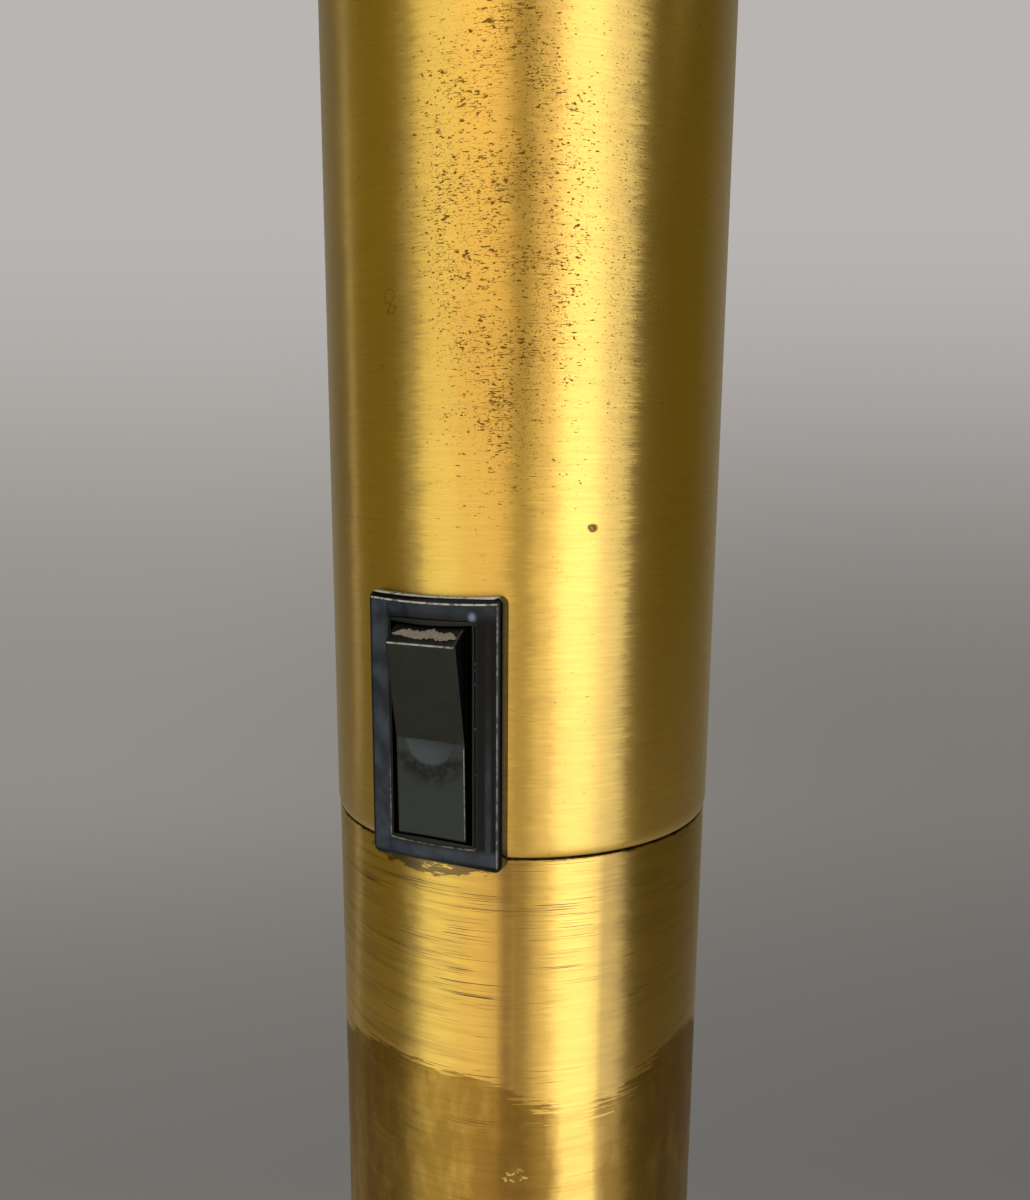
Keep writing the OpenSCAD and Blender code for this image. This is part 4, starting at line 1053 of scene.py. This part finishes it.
for number in heads:
    spot, here = f"head_{number}_spot", tilted(number)
    centre, axis = here.translation, here.to_3x3().col[0]
    shade_brass = brass(f"spun_brass_shade_{number}", brass_gold, tuple(centre), tuple(axis))[0]
    shade = make_piece(f"shade_{number}_spun", spot, *turned(shade_outline, 160),
                       [shade_brass, white_enamel], here @ along_x, 40)
    vents = grown(ring_tree, f"vents_{number}", here @ along_x @ Matrix.Translation(
        (0, 0, 22 * mm)), rods=8, ring_radius=15.5 * mm, rod_radius=3 * mm, length=5 * mm)
    subtract(shade, vents)
    while len(shade.data.materials) > 2:
        shade.data.materials.pop()
    to_local = here.inverted()
    for face in shade.data.polygons:
        middle = to_local @ face.center / mm
        facing_in = (to_local.to_3x3() @ face.normal).dot(
            middle - Vector((min(max(middle.x, 45), 150), 0, 0))) < 0
        face.material_index = int(facing_in and middle.x < 152.4)
    shade.data.set_sharp_from_angle(angle=math.radians(40))
    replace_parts(shade, f"head_{number}_shade")
    # The photographed side of the column mirrors no shade, so the lowest one isn't mirrored
    shade.visible_glossy = number != 1
    bulb = make_piece(f"bulb_{number}_reflector", spot, *turned(bulb_outline, 96),
                      [silvering, frosted_glass], here @ along_x, 60)
    for face in bulb.data.polygons:
        face.material_index = int((to_local @ face.center).x > 118 * mm)
    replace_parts(bulb, f"head_{number}_bulb")
    thread = grown(thread_tree, f"cap_thread_{number}", here @ along_x @ Matrix.Translation(
        (0, 0, 46 * mm)), turns=4.0, thread_radius=12.9 * mm, wire_radius=0.5 * mm,
        height=13 * mm, finish=cap_metal)
    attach(thread, spot)
print("shade:", len(shade.data.polygons), "faces; bulb:", len(bulb.data.polygons), "faces")

# %% [markdown]
# ### Softened solids
# Forks, knuckles, screws and collars are good solids, but their edges are knife sharp, and real
# ones catch light along a rounded edge. A copy of the solid has its loose triangles merged and
# its flat faces joined, and a small bevel runs along every edge that turns by more than 30
# degrees.

# %% Softened copies
def softened(node_name, width, finish):
    """A replacement of a solid with its sharp edges rounded by a width in mm."""
    node = frame["nodes"][node_name]
    work = bmesh.new()
    work.from_mesh(node.data)
    bmesh.ops.remove_doubles(work, verts=work.verts, dist=2e-6)
    bmesh.ops.dissolve_limit(work, angle_limit=math.radians(0.5), verts=work.verts,
                             edges=work.edges, delimit=set())
    mesh = bpy.data.meshes.new(node_name + "_soft")
    work.to_mesh(mesh)
    work.free()
    mesh.materials.append(finish)
    piece = add_object(node_name + "_soft", mesh)
    bevel = piece.modifiers.new("round", "BEVEL")
    bevel.width = width * mm
    bevel.segments = 2
    bevel.limit_method = "ANGLE"
    bevel.angle_limit = math.radians(30)
    bevel.use_clamp_overlap = True
    piece.data = smoothed(baked(piece), 38)
    piece.modifiers.clear()
    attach(piece, node["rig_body"])
    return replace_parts(piece, node_name)


for number in heads:
    softened(f"head_{number}_fork", 0.5, fitting_brass)
    softened(f"head_{number}_knuckle", 0.3, fitting_brass)
    softened(f"head_{number}_pivot_screw", 0.3, fitting_brass)
softened("switch_housing", 0.08, housing_black)

# %% [markdown]
# The tension spring shortens from 170 to 110 mm as the plunger is pushed down by 60 mm. Here it
# is a plain copy of its solid that moves with its body.

# %% The tension spring
spring_node = frame["nodes"]["tension_spring"]
spring_mesh = spring_node.data.copy()
spring = add_object("tension_spring_coil", spring_mesh)
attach(spring, spring_node["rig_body"])
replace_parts(spring, "tension_spring")
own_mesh(spring)

# %% [markdown]
# ## Studio
# The lamp stands on a pale floor that sweeps up into a wall behind it. Tall soft boxes stand in
# front: two on the left and three on the right, with a dim card between them. In the round brass
# they become golden bands with a dull one between. A narrow strip and a low card give the lines
# near the left edge, a box behind lights the far side, and one above lights the switch's tops.

# %% Floor and wall
def paper_finish():
    """Matt grey paper with a faint tooth. Its far part and the wall glow softly by themselves."""
    material, tree, shader = new_finish("pale_grey_paper", "#c9c6c2", 0.9,
                                        Specular_IOR_Level=0.2)
    place = put(tree, "TexCoord").outputs["Object"]
    tooth = put(tree, "TexNoise", {"Vector": place, "Scale": 250.0})
    bump = put(tree, "Bump", {"Strength": 0.1, "Distance": 0.0005, "Height": tooth})
    fill(tree, shader, {"Normal": bump})
    across, depth, height = put(tree, "SeparateXYZ", [place]).outputs
    # Painted light on the glow: darker to the right, lighter further back and up the wall
    side = mask_of(tree, [(across, -1.5, 1.5)])
    near_tone = add_marks(tree, paint("#75726e"), (side, "#676562", 1.0))
    far_tone = add_marks(tree, paint("#918e89"), (side, "#7d7975", 1.0))
    distant = mask_of(tree, [(depth, 0.9, 2.8)])
    floor_tone = put(tree, "Mix", [distant, near_tone, far_tone], data_type="RGBA")
    up_wall = mask_of(tree, [(height, 0.0, 2.1)])
    tone = add_marks(tree, floor_tone, (up_wall, "#b9b5b2", 1.0))
    glow = put(tree, "Emission", {"Color": tone, "Strength": 1.0})
    rays = put(tree, "LightPath").outputs
    dimmed = put(tree, "Math MULTIPLY", [rays["Is Glossy Ray"], 0.15])
    mirrored = put(tree, "Math MAXIMUM", [dimmed, rays["Is Camera Ray"]])
    seen = put(tree, "Math MAXIMUM", [mirrored, rays["Is Transmission Ray"]])
    aside = put(tree, "Math ABSOLUTE", [across])
    far = put(tree, "Math MULTIPLY", [seen, mask_of(tree, [(depth, 0.25, 1.1)])])
    # Views from the side and from behind see the glow on the floor's other edges as well
    rim = mask_of(tree, [(depth, -1.2, -2.6)], [(aside, 1.4, 2.6)])
    around = put(tree, "Math MULTIPLY", [rays["Is Camera Ray"], rim])
    glowing = put(tree, "Math MAXIMUM", [far, around])
    mixed = put(tree, "MixShader", [glowing, shader, glow])
    fill(tree, tree.nodes["Material Output"], {"Surface": mixed})
    return material


bend_y, bend_r, near_y, paper_top, side_x = 2.4, 1.6, -6.0, 6.0, 7.0
sweep = [(near_y, 0.0), (bend_y, 0.0)]
sweep += [(bend_y + bend_r * math.sin(a), bend_r * (1 - math.cos(a)))
          for a in (math.pi / 2 * k / 24 for k in range(1, 25))]
sweep += [(bend_y + bend_r, paper_top)]
points = [(x, y, z) for x in (-side_x, side_x) for y, z in sweep]
count = len(sweep)
mesh = bpy.data.meshes.new("paper_sweep")
mesh.from_pydata(points, [], [(i, count + i, count + i + 1, i + 1) for i in range(count - 1)])
mesh.materials.append(paper_finish())
mesh.shade_smooth()
paper = add_object("paper_sweep", mesh)

# %% Lights
def soft_box(name, location, rotation, width, height, brightness, colour="#ffffff"):
    """An area light that the camera doesn't see. Brightness is the radiance of its face."""
    data = bpy.data.lights.new(name, "AREA")
    data.shape = "RECTANGLE"
    data.size = width
    data.size_y = height
    data.energy = brightness * math.pi * width * height
    data.color = paint(colour)[:3]
    light = add_object(name, data)
    light.location = location
    light.rotation_euler = [math.radians(angle) for angle in rotation]
    light.visible_camera = False


# Name, direction, distance, width, height, height of the middle, brightness and colour
for name, turn, distance, width, height, z, brightness, colour in (
        ("left_outer_box", -48.7, 1.5, 0.64, 2.8, 1.3, 1.1, "#fbffee"),
        ("left_inner_box", -22.2, 1.5, 0.75, 2.8, 1.3, 0.95, "#fff2e2"),
        ("middle_card", -1.5, 1.5, 0.33, 2.8, 1.3, 0.24, "#fff4e4"),
        ("right_inner_box", 11.4, 1.5, 0.36, 2.8, 1.3, 1.0, "#fff8ee"),
        ("right_core_box", 30, 1.5, 0.64, 2.8, 1.3, 2.35, "#f6f9ff"),
        ("right_outer_box", 51, 1.5, 0.47, 2.8, 1.3, 1.6, "#e2eaff"),
        ("left_edge_strip", -114, 1.6, 0.06, 2.3, 1.6, 1.1, "#ffffff"),
        ("left_low_card", -66, 1.5, 0.16, 1.6, 0.8, 0.5, "#ccd8ff"),
        ("back_box", 180, 2.1, 0.5, 2.3, 1.7, 1.2, "#ffffff")):
    a = math.radians(turn)
    soft_box(name, (distance * math.sin(a), -distance * math.cos(a), z), (90, 0, turn),
             width, height, brightness, colour)
soft_box("top_box", (-0.66, -0.61, 3.2), (21, 0, -47), 0.7, 0.45, 34)
print("lights:", ", ".join(light.name for light in bpy.data.lights))

# %% [markdown]
# The room's own light is a weak yellow, which dull brass mirrors as olive, a little stronger on
# the left. The camera itself sees a pale grey room.

# %% The room
world = bpy.data.worlds.new("room")
world.use_nodes = True
tree = world.node_tree
across, _, height = put(tree, "SeparateXYZ", [put(tree, "TexCoord").outputs["Generated"]]).outputs
side_level = put(tree, "MapRange", [across, -1.0, 1.0, 0.215, 0.135])
background = tree.nodes["Background"]
fill(tree, background, {"Color": paint("#ffee70"), "Strength": side_level})
overhead = mask_of(tree, [(height, 0.0, 0.4)])
seen_tone = add_marks(tree, paint("#85817d"), (overhead, "#b9b5b2", 1.0))
pale_room = put(tree, "Background", {"Color": seen_tone})
is_camera = put(tree, "LightPath").outputs["Is Camera Ray"]
room = put(tree, "MixShader", [is_camera, background, pale_room])
fill(tree, tree.nodes["World Output"], {"Surface": room})
bpy.context.scene.world = world

# %% [markdown]
# ## Camera
# The photograph was taken from about 13 cm in front of the column, a little above the joint and
# looking down by 10 degrees. The place, tilt and focal length were fitted to the tube's edges,
# the joint's curve and the bezel's corners.

# %% Camera
focal_px, height_px, aim_px = 967.0, 1200, 640.0
film_mm = 36.0
left_mm, away_mm, above_mm = 1.10, 131.0, 44.6
down, roll = 10.01, 0.35
camera_data = bpy.data.cameras.new("close_up")
camera_data.sensor_width = film_mm
camera_data.lens = focal_px / height_px * film_mm
camera_data.shift_y = (aim_px - height_px / 2) / height_px
camera_data.clip_start = 0.01
camera_data.clip_end = 60
camera = add_object("close_up", camera_data)
camera.matrix_world = (
    Matrix.Translation((-left_mm * mm, -away_mm * mm, (joint_z + above_mm) * mm))
    @ Matrix.Rotation(math.radians(90 - down), 4, "X")
    @ Matrix.Rotation(math.radians(roll), 4, "Z"))
bpy.context.scene.camera = camera
bpy.context.scene.view_settings.view_transform = "Standard"
print("camera at", [round(v, 4) for v in camera.location])
